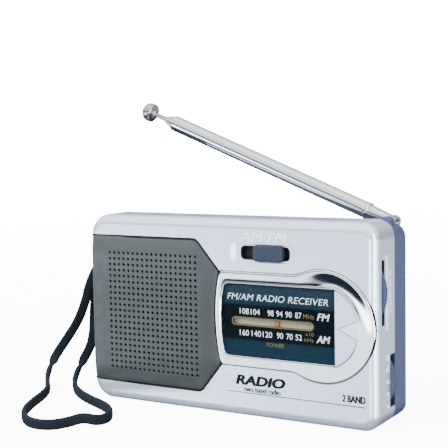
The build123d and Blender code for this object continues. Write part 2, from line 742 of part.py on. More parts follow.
with BuildPart() as ceramic_filters:
    for filter_x in (21.6, 25.2):
        block((filter_x - 1.2, filter_x + 1.2), (BOARD_Y[1] + 1.0, 2.0), (38.6, 44.0))
        for leg_z in (39.0, 41.1, 43.2):
            block((filter_x - 0.3, filter_x + 0.3), (BOARD_Y[1], BOARD_Y[1] + 1.2), (leg_z, leg_z + 0.4))
save(ceramic_filters.part, "ceramic_filters")

with BuildPart() as resistors:
    for body_x, body_z in RESISTORS:
        with BuildSketch(Plane.XY.offset(body_z)) as body_end:
            with Locations((body_x, RESISTOR_Y)):
                Circle(0.95)
        extrude(to_extrude=body_end.sketch, amount=4.0)
        with BuildSketch(Plane.XY.offset(body_z - 1.2)) as lead_end:
            with Locations((body_x, RESISTOR_Y)):
                Circle(0.3)
        extrude(to_extrude=lead_end.sketch, amount=6.4)
        for foot_z in (body_z - 1.2, body_z + 4.6):
            block((body_x - 0.3, body_x + 0.3), (RESISTOR_Y, BOARD_Y[0]), (foot_z, foot_z + 0.6))
save(resistors.part, "resistors")

with BuildPart() as earphone_jack:
    block((-58.1, -46.6), (2.0, 9.4), (10.2, 17.8))
    with BuildSketch(from_side(-WIDTH / 2)) as bush:
        with Locations((SOCKET_Y, SOCKET_Z)):
            Circle(2.95)
    extrude(to_extrude=bush.sketch, amount=3.0)
    with BuildSketch(from_side(-WIDTH / 2)) as socket:
        with Locations((SOCKET_Y, SOCKET_Z)):
            Circle(SOCKET_R)
    extrude(to_extrude=socket.sketch, amount=SOCKET_DEPTH, mode=Mode.SUBTRACT)
save(earphone_jack.part, "earphone_jack")

# ---------------------------------------------------------------- battery pieces

with BuildPart() as battery_cells:
    for cell_z, nub in zip(CELL_Z, (1, -1)):
        middle = (BAY_X[0] + BAY_X[1]) / 2
        shift = 0.35 * nub
        with BuildSketch(from_side(middle + shift - CELL_LENGTH / 2)) as cell_end:
            with Locations((CELL_Y, cell_z)):
                Circle(CELL_R)
        extrude(to_extrude=cell_end.sketch, amount=CELL_LENGTH)
        start = middle + shift + nub * CELL_LENGTH / 2
        with BuildSketch(from_side(start)) as nub_end:
            with Locations((CELL_Y, cell_z)):
                Circle(2.7)
        extrude(to_extrude=nub_end.sketch, amount=nub * 1.0)
save(battery_cells.part, "battery_cells")


def contact_plate(name, x_from, side, spring_z, nub_z):
    """A sprung end plate: a flat strip, a coned spring for one cell, a bump for the other."""
    with BuildPart() as plate:
        span = sorted((x_from, x_from + side * 0.4))
        block(span, (0.4, CAVITY_Y - 0.2), (BAY_Z[0] + 0.6, BAY_Z[1] - 0.6))
        for ring in range(3):
            centre = (x_from + side * (0.55 + 0.42 * ring), CELL_Y, spring_z)
            with Locations(Location(centre, (0, 90, 0))):
                Torus(3.4 - 0.3 * ring, 0.32)
        with Locations(Location((x_from + side * 0.4, CELL_Y, nub_z), (0, 90, 0))):
            Cylinder(2.0, 0.6)
    save(plate.part, name)


contact_plate("battery_contacts_left", BAY_X[0], 1, CELL_Z[0], CELL_Z[1])
contact_plate("battery_contacts_right", BAY_X[1], -1, CELL_Z[1], CELL_Z[0])

# ---------------------------------------------------------------- tuning drive

with BuildPart() as tuning_wheel:
    disc(TUNING_X, TUNING_Z, TUNING_WHEEL_R, *TUNING_WHEEL_Y)
    with BuildSketch(facing_front(TUNING_WHEEL_Y[1] + 1)) as wheel_notches:
        with Locations((TUNING_X, TUNING_Z)):
            with PolarLocations(TUNING_WHEEL_R + NOTCH_R / 2, 96):
                Circle(NOTCH_R)
    extrude(to_extrude=wheel_notches.sketch, amount=5, mode=Mode.SUBTRACT)
    drill(TUNING_X, TUNING_Z, SPINDLE_R + 0.02, -11, -8)
save(tuning_wheel.part, "tuning_wheel")


def grooved(part_name, x, z, cord_radius, bore):
    """A pulley: two flanges with a groove between them that the cord lies in."""
    with BuildPart() as pulley:
        disc(x, z, cord_radius + 0.5, *DRIVE_Y)
        with BuildSketch(facing_front(CORD_Y + 0.45)) as groove:
            with Locations((x, z)):
                Circle(cord_radius + 1)
                Circle(cord_radius - CORD_R - 0.1, mode=Mode.SUBTRACT)
        extrude(to_extrude=groove.sketch, amount=0.9, mode=Mode.SUBTRACT)
        drill(x, z, bore, -11, -4)
    save(pulley.part, part_name)


grooved("cord_drum", TUNING_X, TUNING_Z, DRUM_CORD_R, SPINDLE_R + 0.02)
grooved("idler_pulley", IDLER_X, IDLER_Z, IDLER_CORD_R, 1.0 + RUNNING_GAP)

with BuildPart() as tuning_spindle:
    disc(TUNING_X, TUNING_Z, SPINDLE_R, -10.2, -1.0)
save(tuning_spindle.part, "tuning_spindle")

with BuildPart() as tuning_screw:
    disc(TUNING_X, TUNING_Z, 2.7, -10.9, -10.2)
    slot_z = (TUNING_Z - 0.3, TUNING_Z + 0.3)
    block((TUNING_X - 2.0, TUNING_X + 2.0), (-11.0, -10.6), slot_z, mode=Mode.SUBTRACT)
save(tuning_screw.part, "tuning_screw")

with BuildPart() as idler_pin:
    disc(IDLER_X, IDLER_Z, 1.0, -8.5, BOARD_Y[0])
    disc(IDLER_X, IDLER_Z, 1.8, -9.1, -8.5)
save(idler_pin.part, "idler_pin")

# Cord loop: level below, sloping above, and wrapped round the drum and the idler
span_x = TUNING_X - IDLER_X
span_z = TUNING_Z - IDLER_Z
span_slope = atan2(span_z, span_x)
upper_tilt = 2 * span_slope
upper_normal = (-sin(upper_tilt), cos(upper_tilt))
drum_wrap = 180 + degrees(upper_tilt)
with BuildPart() as dial_cord:
    with BuildLine(facing_front(CORD_Y)) as cord_line:
        Line((IDLER_X, IDLER_Z - IDLER_CORD_R), (TUNING_X, TUNING_Z - DRUM_CORD_R))
        CenterArc((TUNING_X, TUNING_Z), DRUM_CORD_R, -90, drum_wrap)
        Line(
            (TUNING_X + DRUM_CORD_R * upper_normal[0], TUNING_Z + DRUM_CORD_R * upper_normal[1]),
            (IDLER_X + IDLER_CORD_R * upper_normal[0], IDLER_Z + IDLER_CORD_R * upper_normal[1]),
        )
        CenterArc((IDLER_X, IDLER_Z), IDLER_CORD_R, 90 + degrees(upper_tilt), 360 - drum_wrap)
    with BuildSketch(Plane(origin=(IDLER_X, CORD_Y, IDLER_Z - IDLER_CORD_R), z_dir=(1, 0, 0))):
        Circle(CORD_R)
    sweep(path=cord_line.line)
save(dial_cord.part, "dial_cord")

with BuildPart() as pointer_rail:
    with BuildSketch(from_side(0.8)) as rail_end:
        with Locations((RAIL_Y, RAIL_Z)):
            Circle(RAIL_R)
    extrude(to_extrude=rail_end.sketch, amount=36.6)
    for post_x in (0.8, 36.0):
        block((post_x, post_x + 1.4), (RAIL_Y, BOARD_Y[0]), (RAIL_Z - 0.7, RAIL_Z + 0.7))
save(pointer_rail.part, "pointer_rail")

with BuildPart() as dial_pointer:
    block((POINTER_X - 1.6, POINTER_X + 1.6), (-8.2, -5.6), (31.9, 40.3))
    block((POINTER_X - 0.8, POINTER_X + 0.8), (-12.85, -8.0), (31.9, 32.9))
    block((POINTER_X - 0.8, POINTER_X + 0.8), (-12.85, -12.25), (31.9, 36.7))
    for bore_y, bore_z, bore_r in (
        (RAIL_Y, RAIL_Z, RAIL_R + RUNNING_GAP),
        (CORD_Y, IDLER_Z - IDLER_CORD_R, CORD_R + 0.1),
    ):
        with BuildSketch(from_side(POINTER_X - 3)) as bore:
            with Locations((bore_y, bore_z)):
                Circle(bore_r)
        extrude(to_extrude=bore.sketch, amount=6, mode=Mode.SUBTRACT)
save(dial_pointer.part, "dial_pointer")

# ---------------------------------------------------------------- volume wheel and band switch

with BuildPart() as volume_wheel:
    disc(VOLUME_X, VOLUME_Z, VOLUME_WHEEL_R, *VOLUME_WHEEL_Y)
    with BuildSketch(facing_front(VOLUME_WHEEL_Y[1] + 1)) as volume_notches:
        with Locations((VOLUME_X, VOLUME_Z)):
            with PolarLocations(VOLUME_WHEEL_R + NOTCH_R / 2, 72):
                Circle(NOTCH_R)
    extrude(to_extrude=volume_notches.sketch, amount=6, mode=Mode.SUBTRACT)
    disc(VOLUME_X, VOLUME_Z, SPINDLE_R, -6.2, -3.0)
    drill(VOLUME_X, VOLUME_Z, 2.8, -1.1, 0)
save(volume_wheel.part, "volume_wheel")

with BuildPart() as volume_screw:
    disc(VOLUME_X, VOLUME_Z, 2.6, -1.1, -0.4)
    slot_z = (VOLUME_Z - 0.3, VOLUME_Z + 0.3)
    block((VOLUME_X - 2.0, VOLUME_X + 2.0), (-0.7, 0.0), slot_z, mode=Mode.SUBTRACT)
save(volume_screw.part, "volume_screw")

with BuildPart() as band_switch_knob:
    stem_span = (GRIP_X[0] + 0.3, GRIP_X[1] - 0.1)
    extrude(to_extrude=rounded(INNER_Y + 0.4, stem_span, BAND_Z, 4.0, 1.4), amount=2.6)
    # Grip, wider than its slot, with a step that slopes down on its left
    extrude(to_extrude=rounded(FRONT_Y + 0.6, GRIP_X, BAND_Z, GRIP_HEIGHT, 1.3), amount=1.35)
    fillet(band_switch_knob.faces().sort_by(Axis.Y)[0].edges(), 0.4)
    with BuildSketch(Plane.XY.offset(BAND_Z - GRIP_HEIGHT)) as slope:
        with BuildLine():
            Polyline(
                (12.0, -16.0),
                (16.2, -16.0),
                (15.6, -15.0),
                (12.6, -14.3),
                (12.0, -14.3),
                (12.0, -16.0),
            )
        make_face()
    extrude(to_extrude=slope.sketch, amount=2 * GRIP_HEIGHT, mode=Mode.SUBTRACT)
    # Slider plate behind the slot and the lug that drives the switch
    block((10.6, 27.0), (INNER_Y + 0.3, INNER_Y + 1.1), (56.2, 63.6))
    block((16.8, 20.8), (INNER_Y + 1.0, -8.8), (58.9, 60.9))
save(band_switch_knob.part, "band_switch_knob")

# ---------------------------------------------------------------- antenna


def tube(part_name, outer_r, start, end, inner_r=0.0):
    """A straight tube or rod along the antenna."""
    with BuildPart() as piece:
        with BuildSketch(antenna_plane(start)):
            Circle(outer_r)
            if inner_r:
                Circle(inner_r, mode=Mode.SUBTRACT)
        extrude(amount=end - start)
        rim = piece.faces().sort_by(Axis.Z)[-1].edges().sort_by(SortBy.RADIUS)[-1]
        chamfer(rim, 0.25)
    save(piece.part, part_name)


with BuildPart() as antenna_base:
    block_plane = antenna_plane(0)
    side_plane = Plane(
        origin=(PIVOT_X, PIVOT_Y - 2.5, PIVOT_Z), x_dir=block_plane.z_dir, z_dir=(0, 1, 0)
    )
    with BuildSketch(side_plane):
        Circle(2.2)
        with BuildLine():
            Polyline(
                (0, -2.2),
                (9.0, -3.0),
                (TUBE_START, -3.0),
                (TUBE_START, 3.0),
                (9.0, 3.0),
                (0, 2.2),
                (0, -2.2),
            )
        make_face()
        Circle(SPINDLE_R - 0.3 + RUNNING_GAP, mode=Mode.SUBTRACT)
    extrude(amount=5.0)
    with BuildSketch(antenna_plane(TUBE_START)):
        Circle(SECTION_R[0] - SECTION_WALL - 0.05)
    extrude(amount=1.6)
save(antenna_base.part, "antenna_base")

for number, section_r in enumerate(SECTION_R):
    first = TUBE_START if number == 0 else TUBE_START + 1.9 + number * STAGGER
    tube(
        f"antenna_section_{number + 1}",
        section_r,
        first,
        TUBE_END + number * STAGGER,
        section_r - SECTION_WALL,
    )

tube("antenna_rod", ROD_R, TUBE_START + 1.9 + 4 * STAGGER, TIP_START + 2.0)

with BuildPart() as antenna_tip:
    with BuildSketch(antenna_plane(TIP_START)):
        Circle(TIP_R)
    extrude(amount=TIP_LENGTH)
    fillet(antenna_tip.edges().filter_by(GeomType.CIRCLE), 1.0)
    with BuildSketch(antenna_plane(TIP_START - 0.5)):
        Circle(ROD_R + 0.02)
    extrude(amount=2.5, mode=Mode.SUBTRACT)
save(antenna_tip.part, "antenna_tip")

with BuildPart() as antenna_washer:
    with BuildSketch(facing_front(5.9)) as washer_face:
        with Locations((PIVOT_X, PIVOT_Z)):
            Circle(2.2)
            Circle(1.25, mode=Mode.SUBTRACT)
    extrude(to_extrude=washer_face.sketch, amount=0.45)
save(antenna_washer.part, "antenna_washer")

with BuildPart() as antenna_screw:
    disc(PIVOT_X, PIVOT_Z, SPINDLE_R - 0.3, 3.0, 11.1)
    disc(PIVOT_X, PIVOT_Z, 2.2, 11.1, 12.1)
    block((PIVOT_X - 1.8, PIVOT_X + 1.8), (11.7, 12.4), (PIVOT_Z - 0.3, PIVOT_Z + 0.3), mode=Mode.SUBTRACT)
save(antenna_screw.part, "antenna_screw")

# ---------------------------------------------------------------- fasteners

with BuildPart() as case_screws:
    for screw_x, screw_z in CASE_SCREWS:
        disc(screw_x, screw_z, CASE_SCREW_R, -7.0, 5.6)
        disc(screw_x, screw_z, 2.0, 5.55, 7.0)
        for reach_x, reach_z in ((1.4, 0.3), (0.3, 1.4)):
            slot_x = (screw_x - reach_x, screw_x + reach_x)
            slot_z = (screw_z - reach_z, screw_z + reach_z)
            block(slot_x, (6.4, 7.5), slot_z, mode=Mode.SUBTRACT)
save(case_screws.part, "case_screws")

with BuildPart() as board_screws:
    for screw_x, screw_z in BOARD_SCREWS:
        disc(screw_x, screw_z, BOARD_SCREW_R, -10.0, BOARD_Y[1])
        disc(screw_x, screw_z, 1.8, BOARD_Y[1], BOARD_Y[1] + 0.9)
save(board_screws.part, "board_screws")

# ---------------------------------------------------------------- leads and strap


def corner_radii(route):
    """For each corner of a route, the largest arc that its two runs leave room for."""
    radii = []
    for before, corner, after in zip(route, route[1:], route[2:]):
        run_in = Vector(*corner) - Vector(*before)
        run_out = Vector(*after) - Vector(*corner)
        half_turn = radians(run_in.get_angle(run_out)) / 2
        radii.append(0.45 * min(run_in.length, run_out.length) / tan(half_turn))
    return radii


def round_lead(route, radius):
    """A round wire along a route, joined to the part being built."""
    with BuildLine() as lead_line:
        FilletPolyline(*route, radius=corner_radii(route))
    with BuildSketch(Plane(origin=lead_line.line @ 0, z_dir=lead_line.line % 0)) as lead_end:
        Circle(radius)
    sweep(sections=lead_end.sketch, path=lead_line.line)


with BuildPart() as speaker_leads:
    for drop in (0.0, 4.4):
        lead_route = [
            (-10.8, -6.3, 20.7 + drop / 2),
            (-9.4, -5.6, 18.8 + drop * 0.7),
            (-8.0, -4.6, 16.4 + drop * 0.8),
            (-5.6, -3.6, 14.2 + drop),
            (-2.6, -3.5, 13.2 + drop),
        ]
        round_lead(lead_route, 0.4)
save(speaker_leads.part, "speaker_leads")

strap_radii = corner_radii(STRAP_ROUTE)
with BuildPart() as wrist_strap:
    with BuildLine() as strap_line:
        FilletPolyline(*STRAP_ROUTE, radius=strap_radii)
    with BuildSketch(Plane(origin=strap_line.line @ 0, z_dir=strap_line.line % 0)):
        Circle(STRAP_R)
    sweep(path=strap_line.line)
save(wrist_strap.part, "wrist_strap")

strap_length = strap_line.wires()[0].length
tube_volume = pi * STRAP_R**2 * strap_length
print("strap radii", [round(r, 1) for r in strap_radii])
print("strap length", round(strap_length, 1))
print("strap volume over section times length", round(wrist_strap.part.volume / tube_volume, 4))

with BuildPart() as strap_lug:
    block((-63.4, -WIDTH / 2), (LUG_Y - 3.6, LUG_Y + 3.6), (LUG_Z - 1.6, LUG_Z + 1.6))
    fillet(strap_lug.edges().filter_by(Axis.Z).sort_by(Axis.X)[:2], 1.5)
    block((-62.2, -60.4), (LUG_Y - 2.4, LUG_Y + 2.4), (LUG_Z - 3, LUG_Z + 3), mode=Mode.SUBTRACT)
save(strap_lug.part, "strap_lug")
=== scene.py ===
"""Looks of a pocket two-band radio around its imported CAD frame."""

import json
from math import cos, dist, hypot, pi, radians, sin, sqrt

import bmesh
import bpy
from mathutils import Matrix, Vector
from mathutils.geometry import delaunay_2d_cdt


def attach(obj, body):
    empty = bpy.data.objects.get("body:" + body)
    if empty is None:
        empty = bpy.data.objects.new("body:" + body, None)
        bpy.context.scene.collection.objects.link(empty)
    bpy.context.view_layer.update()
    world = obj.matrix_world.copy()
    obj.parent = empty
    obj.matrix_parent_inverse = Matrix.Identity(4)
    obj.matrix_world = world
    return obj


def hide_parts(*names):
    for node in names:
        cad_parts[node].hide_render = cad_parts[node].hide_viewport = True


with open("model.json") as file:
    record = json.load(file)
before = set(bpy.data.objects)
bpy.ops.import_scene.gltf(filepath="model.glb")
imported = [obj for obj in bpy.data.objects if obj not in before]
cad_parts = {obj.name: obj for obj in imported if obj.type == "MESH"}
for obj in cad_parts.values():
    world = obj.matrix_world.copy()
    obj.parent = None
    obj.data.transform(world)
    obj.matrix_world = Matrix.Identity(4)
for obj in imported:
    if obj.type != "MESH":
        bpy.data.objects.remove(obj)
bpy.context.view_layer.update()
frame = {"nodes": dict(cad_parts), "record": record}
NODES = frame["nodes"]

MM = 0.001
# The case in millimetres: its front face, right side, height and the printed dial's face
FACE_Y = -14.5
SIDE_X = 60.0
CASE_HEIGHT = 72.0
DIAL_Y = -13.6

# ------------------------ camera

CAMERA_PLACE = (0.1989, -0.3488, 0.1042)
CAMERA_YAW = radians(30.62)
CAMERA_DOWN = radians(5.04)
CAMERA_ROLL = radians(-0.98)
CAMERA_LENS = 87.16
SENSOR = 36.0


def make_camera():
    """The photograph's viewing angle: to the right of the front, a little above."""
    forward = Vector((
        -sin(CAMERA_YAW) * cos(CAMERA_DOWN),
        cos(CAMERA_YAW) * cos(CAMERA_DOWN),
        -sin(CAMERA_DOWN),
    ))
    level = Vector((cos(CAMERA_YAW), sin(CAMERA_YAW), 0))
    upright = level.cross(forward)
    right = cos(CAMERA_ROLL) * level + sin(CAMERA_ROLL) * upright
    up = cos(CAMERA_ROLL) * upright - sin(CAMERA_ROLL) * level
    data = bpy.data.cameras.new("camera")
    data.lens = CAMERA_LENS
    data.sensor_width = SENSOR
    data.clip_start = 0.01
    camera = bpy.data.objects.new("camera", data)
    turn = Matrix((right, up, -forward)).transposed().to_4x4()
    camera.matrix_world = Matrix.Translation(CAMERA_PLACE) @ turn
    bpy.context.scene.collection.objects.link(camera)
    bpy.context.scene.camera = camera


make_camera()

# ------------------------ mesh tools


def link_mesh(name, verts, faces, smooth=True):
    """A new mesh object in the scene, from points in metres."""
    mesh = bpy.data.meshes.new(name)
    mesh.from_pydata([tuple(v) for v in verts], [], faces)
    mesh.validate()
    if smooth:
        mesh.shade_smooth()
    piece = bpy.data.objects.new(name, mesh)
    bpy.context.scene.collection.objects.link(piece)
    return piece


def crease(piece, angle=35):
    """Keeps edges sharper than that angle, in degrees, crisp."""
    piece.data.set_sharp_from_angle(angle=radians(angle))
    return piece


def tidy(piece, angle=None):
    """Drops loose points, turns the faces outward and may keep edges over that angle crisp."""
    mesh = bmesh.new()
    mesh.from_mesh(piece.data)
    bmesh.ops.delete(mesh, geom=[v for v in mesh.verts if not v.link_faces], context="VERTS")
    bmesh.ops.recalc_face_normals(mesh, faces=mesh.faces)
    mesh.to_mesh(piece.data)
    mesh.free()
    return crease(piece, angle) if angle else piece


def smooth_step(low, high, value):
    """0 below low, 1 above high, and an even blend between."""
    t = min(max((value - low) / (high - low), 0.0), 1.0)
    return t * t * (3 - 2 * t)


def mix(a, b, t):
    """The point, or number, that far from a to b."""
    if isinstance(a, (int, float)):
        return a + (b - a) * t
    return tuple(x + (y - x) * t for x, y in zip(a, b))


def arc(centre, radius, start, end, count):
    """Points along a circle's arc, with both ends, angles in degrees."""
    angles = [radians(start + (end - start) * i / (count - 1)) for i in range(count)]
    return [(centre[0] + radius * cos(a), centre[1] + radius * sin(a)) for a in angles]


def resample(points, count):
    """Evenly spaced points along a polyline."""
    runs = [0.0]
    for a, b in zip(points, points[1:]):
        runs.append(runs[-1] + dist(a, b))
    result = []
    k = 0
    for i in range(count):
        target = runs[-1] * i / (count - 1)
        while k < len(points) - 2 and runs[k + 1] < target:
            k += 1
        part = (target - runs[k]) / max(runs[k + 1] - runs[k], 1e-9)
        result.append(mix(points[k], points[k + 1], min(part, 1.0)))
    return result


def rounded_loop(x_span, middle, height, radius, count=8):
    """Points round a rectangle with rounded corners, clockwise."""
    left, right = x_span[0] + radius, x_span[1] - radius
    low, high = middle - height / 2 + radius, middle + height / 2 - radius
    corners = (((right, high), 90), ((right, low), 0), ((left, low), -90), ((left, high), -180))
    return [p for centre, start in corners for p in arc(centre, radius, start, start - 90, count)]


def strip_faces(rows, columns, closed_rows=False, closed_columns=False):
    """Quads between the points of a grid stored row after row."""
    faces = []
    for i in range(rows if closed_rows else rows - 1):
        for j in range(columns if closed_columns else columns - 1):
            a, b = i * columns, (i + 1) % rows * columns
            k = (j + 1) % columns
            faces.append((a + j, a + k, b + k, b + j))
    return faces


def capped_faces(rows, columns):
    """A closed tube of quads between rings of points, with a cap at each end."""
    last = rows * columns
    caps = [tuple(range(columns - 1, -1, -1)), tuple(range(last - columns, last))]
    return strip_faces(rows, columns, closed_columns=True) + caps


def open_edges(faces):
    """The edges that only one face has, each in that face's direction."""
    edges = dict.fromkeys(pair for face in faces for pair in zip(face, face[1:] + face[:1]))
    return [(a, b) for a, b in edges if (b, a) not in edges]


def front(x, z, height):
    """A place on the case's front face, height millimetres proud of it."""
    return (x * MM, (FACE_Y - height) * MM, z * MM)


def turned(name, origin, along, profile, count=48):
    """A surface of revolution: profile lists (distance along, radius) in millimetres."""
    along = Vector(along).normalized()
    side = along.cross(Vector((0, 1, 0))).normalized()
    other = along.cross(side)
    verts = []
    for distance, radius in profile:
        for i in range(count):
            angle = 2 * pi * i / count
            out = side * cos(angle) + other * sin(angle)
            verts.append(Vector(origin) + along * distance * MM + out * radius * MM)
    return crease(link_mesh(name, verts, strip_faces(len(profile), count, closed_columns=True)))


def place(piece, body, slot, *nodes):
    """Puts a new piece on a body, with a finish, in the place of any CAD nodes named."""
    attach(piece, body)
    if nodes:
        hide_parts(*nodes)
    piece.data.materials.append(MATERIALS[slot])
    return piece


# ------------------------ wrist strap

# The loop's route in metres, from the lug down to the floor, round on it and back up
STRAP_ROUTE = [
    (-0.0619, 0.0034, 0.0560),
    (-0.0650, 0.0026, 0.0534),
    (-0.0692, 0.0016, 0.0482),
    (-0.0720, 0.0004, 0.0420),
    (-0.0734, -0.0008, 0.0346),
    (-0.0766, -0.0019, 0.0266),
    (-0.0826, -0.0026, 0.0184),
    (-0.0876, -0.0036, 0.0116),
    (-0.0888, -0.0074, 0.0052),
    (-0.0844, -0.0132, 0.0023),
    (-0.0776, -0.0204, 0.0022),
    (-0.0726, -0.0308, 0.0022),
    (-0.0680, -0.0430, 0.0022),
    (-0.0616, -0.0546, 0.0022),
    (-0.0518, -0.0626, 0.0022),
    (-0.0430, -0.0620, 0.0022),
    (-0.0394, -0.0554, 0.0023),
    (-0.0362, -0.0514, 0.0034),
    (-0.0318, -0.0496, 0.0023),
    (-0.0306, -0.0448, 0.0022),
    (-0.0334, -0.0386, 0.0022),
    (-0.0406, -0.0322, 0.0022),
    (-0.0514, -0.0270, 0.0022),
    (-0.0626, -0.0204, 0.0022),
    (-0.0716, -0.0120, 0.0026),
    (-0.0762, -0.0046, 0.0054),
    (-0.0750, -0.0006, 0.0110),
    (-0.0719, 0.0008, 0.0174),
    (-0.0714, 0.0020, 0.0250),
    (-0.0722, 0.0034, 0.0336),
    (-0.0706, 0.0048, 0.0424),
    (-0.0664, 0.0056, 0.0504),
    (-0.0622, 0.0058, 0.0556),
]
STRAP_WIDTH = 3.8 * MM
STRAP_THICK = 2.0 * MM


def spline_points(route, name):
    """Points along the smooth line that a route's control points make."""
    curve = bpy.data.curves.new(name, "CURVE")
    curve.dimensions = "3D"
    spline = curve.splines.new("NURBS")
    spline.points.add(len(route) - 1)
    for point, spot in zip(spline.points, route):
        point.co = (*spot, 1)
    spline.order_u = 3
    spline.use_endpoint_u = True
    spline.resolution_u = 12
    holder = bpy.data.objects.new(name, curve)
    mesh = bpy.data.meshes.new_from_object(holder)
    points = [vertex.co.copy() for vertex in mesh.vertices]
    bpy.data.objects.remove(holder)
    bpy.data.curves.remove(curve)
    bpy.data.meshes.remove(mesh)
    return points


def strap_section(count=24):
    """Half widths and half thicknesses round one cut through the webbing: flat, with full edges."""
    ring = []
    for step in range(count):
        across = cos(2 * pi * step / count)
        through = sin(2 * pi * step / count)
        ring.append((
            abs(across) ** 0.7 * (1 if across >= 0 else -1) * STRAP_WIDTH / 2,
            abs(through) ** 0.6 * (1 if through >= 0 else -1) * STRAP_THICK / 2,
        ))
    return ring


def make_strap():
    """Woven webbing that follows the route, on edge on the floor and facing out where it hangs."""
    path = spline_points(STRAP_ROUTE, "strap_line")
    outward = Vector((cos(CAMERA_YAW), sin(CAMERA_YAW), 0))
    section = strap_section()
    count = len(section)
    verts = []
    for i, spot in enumerate(path):
        before = path[max(i - 1, 0)]
        after = path[min(i + 1, len(path) - 1)]
        along = (after - before).normalized()
        lifted = smooth_step(3 * MM, 16 * MM, spot.z)
        wide = Vector((0, 0, 1)) * (1 - lifted) + outward * lifted
        wide = (wide - along * wide.dot(along)).normalized()
        through = along.cross(wide)
        for across, depth in section:
            verts.append(spot + wide * across + through * depth)
    strap = link_mesh("wrist_strap_webbing", verts, capped_faces(len(path), count))
    run = [0.0]
    for a, b in zip(path, path[1:]):
        run.append(run[-1] + (b - a).length)
    layer = strap.data.attributes.new("along", "FLOAT", "POINT")
    layer.data.foreach_set("value", [run[i // count] for i in range(len(verts))])
    layer = strap.data.attributes.new("across", "FLOAT", "POINT")
    layer.data.foreach_set("value", [section[i % count][0] for i in range(len(verts))])
    return strap


strap = make_strap()

# ------------------------ materials


class Nodes:
    """A short way to write the node tree of a procedural material, or of the surroundings."""

    def __init__(self, name, group=bpy.data.materials, shader="Principled BSDF", coords="Object"):
        self.owner = group.new(name)
        self.owner.use_nodes = True
        self.tree = self.owner.node_tree
        self.shader = self.tree.nodes[shader]
        self.coords = self.add("ShaderNodeTexCoord").outputs[coords]

    def add(self, kind, **settings):
        node = self.tree.nodes.new(kind)
        for key, value in settings.items():
            setattr(node, key, value)
        return node

    def join(self, source, target):
        self.tree.links.new(source, target)

    def set(self, **values):
        """Sets the shader's own sockets, such as Roughness=0.4."""
        for key, value in values.items():
            self.shader.inputs[key.replace("_", " ")].default_value = value

    def noise(self, scale, detail=3.0, stretch=(1, 1, 1), rough=0.5):
        """A noise value over the object's own coordinates, scale in cycles per metre."""
        mapping = self.add("ShaderNodeMapping")
        mapping.inputs["Scale"].default_value = stretch
        self.join(self.coords, mapping.inputs["Vector"])
        noise = self.add("ShaderNodeTexNoise")
        noise.inputs["Scale"].default_value = scale
        noise.inputs["Detail"].default_value = detail
        noise.inputs["Roughness"].default_value = rough
        self.join(mapping.outputs["Vector"], noise.inputs["Vector"])
        return noise.outputs["Fac"]

    def ramp(self, value, stops):
        """A colour ramp with (position, colour) stops."""
        ramp = self.add("ShaderNodeValToRGB")
        elements = ramp.color_ramp.elements
        while len(elements) < len(stops):
            elements.new(0.5)
        for element, (position, colour) in zip(elements, stops):
            element.position = position
            element.color = (*colour, 1)
        self.join(value, ramp.inputs["Fac"])
        return ramp.outputs["Color"]

    def span(self, value, source, target, kind="LINEAR"):
        """Maps a value from one range onto another, and keeps it there."""
        mapper = self.add("ShaderNodeMapRange", interpolation_type=kind)
        mapper.inputs["From Min"].default_value = source[0]
        mapper.inputs["From Max"].default_value = source[1]
        mapper.inputs["To Min"].default_value = target[0]
        mapper.inputs["To Max"].default_value = target[1]
        self.join(value, mapper.inputs["Value"])
        return mapper.outputs["Result"]

    def spread(self, value, low, high):
        """Maps a noise value onto low to high."""
        return self.span(value, (0.3, 0.7), (low, high))

    def axis(self, letter):
        """The object's own X, Y or Z coordinate, in metres."""
        split = self.add("ShaderNodeSeparateXYZ")
        self.join(self.coords, split.inputs[0])
        return split.outputs[letter]

    def maths(self, operation, a, b=None, c=None):
        """One arithmetic step on sockets or numbers."""
        node = self.add("ShaderNodeMath", operation=operation)
        for socket, value in zip(node.inputs, (a, b, c)):
            if isinstance(value, (int, float)):
                socket.default_value = value
            elif value is not None:
                self.join(value, socket)
        return node.outputs[0]

    def wave(self, place, pitch):
        """A sine wave over a place in metres."""
        return self.maths("SINE", self.maths("MULTIPLY", place, 2 * pi / pitch))

    def bump(self, value, distance, strength=1.0):
        """Adds a bump of that height in metres."""
        bump = self.add("ShaderNodeBump")
        bump.inputs["Distance"].default_value = distance
        bump.inputs["Strength"].default_value = strength
        self.join(value, bump.inputs["Height"])
        self.join(bump.outputs["Normal"], self.shader.inputs["Normal"])

    def colour(self, source):
        self.join(source, self.shader.inputs["Base Color"])

    def roughness(self, source):
        self.join(source, self.shader.inputs["Roughness"])


def shade(colour, factor):
    """A colour made lighter or darker."""
    return tuple(min(max(c * factor, 0), 1) for c in colour)


def moulded(name, colour, rough, grain, depth, gloss=0.5, vary=0.06):
    """Moulded plastic or paint: slight mottling, a fine grain and uneven gloss."""
    m = Nodes(name)
    mottle = m.noise(160, 4)
    m.colour(m.ramp(mottle, [(0.3, shade(colour, 1 - vary)), (0.7, shade(colour, 1 + vary))]))
    m.roughness(m.spread(m.noise(900, 3), rough - 0.05, rough + 0.05))
    m.set(Specular_IOR_Level=gloss)
    m.bump(m.noise(grain, 2), depth)
    return m.owner


def metal(name, colour, rough, stretch=(1, 1, 1), vary=0.05, wear=0.06, metallic=1.0):
    """Plated or plain metal with faint streaks and smudged gloss."""
    m = Nodes(name)
    streaks = m.noise(1400, 3, stretch)
    m.colour(m.ramp(streaks, [(0.3, shade(colour, 1 - vary)), (0.7, shade(colour, 1 + vary))]))
    m.roughness(m.spread(m.noise(260, 4), max(rough - wear, 0.02), rough + wear))
    m.set(Metallic=metallic)
    m.bump(streaks, 0.000002)
    return m.owner


# Pitches of the webbing's herringbone, threads and ribs
WEAVE_ACROSS = 0.0011
WEAVE_ALONG = 0.0008
WEAVE_RIB = 0.00055


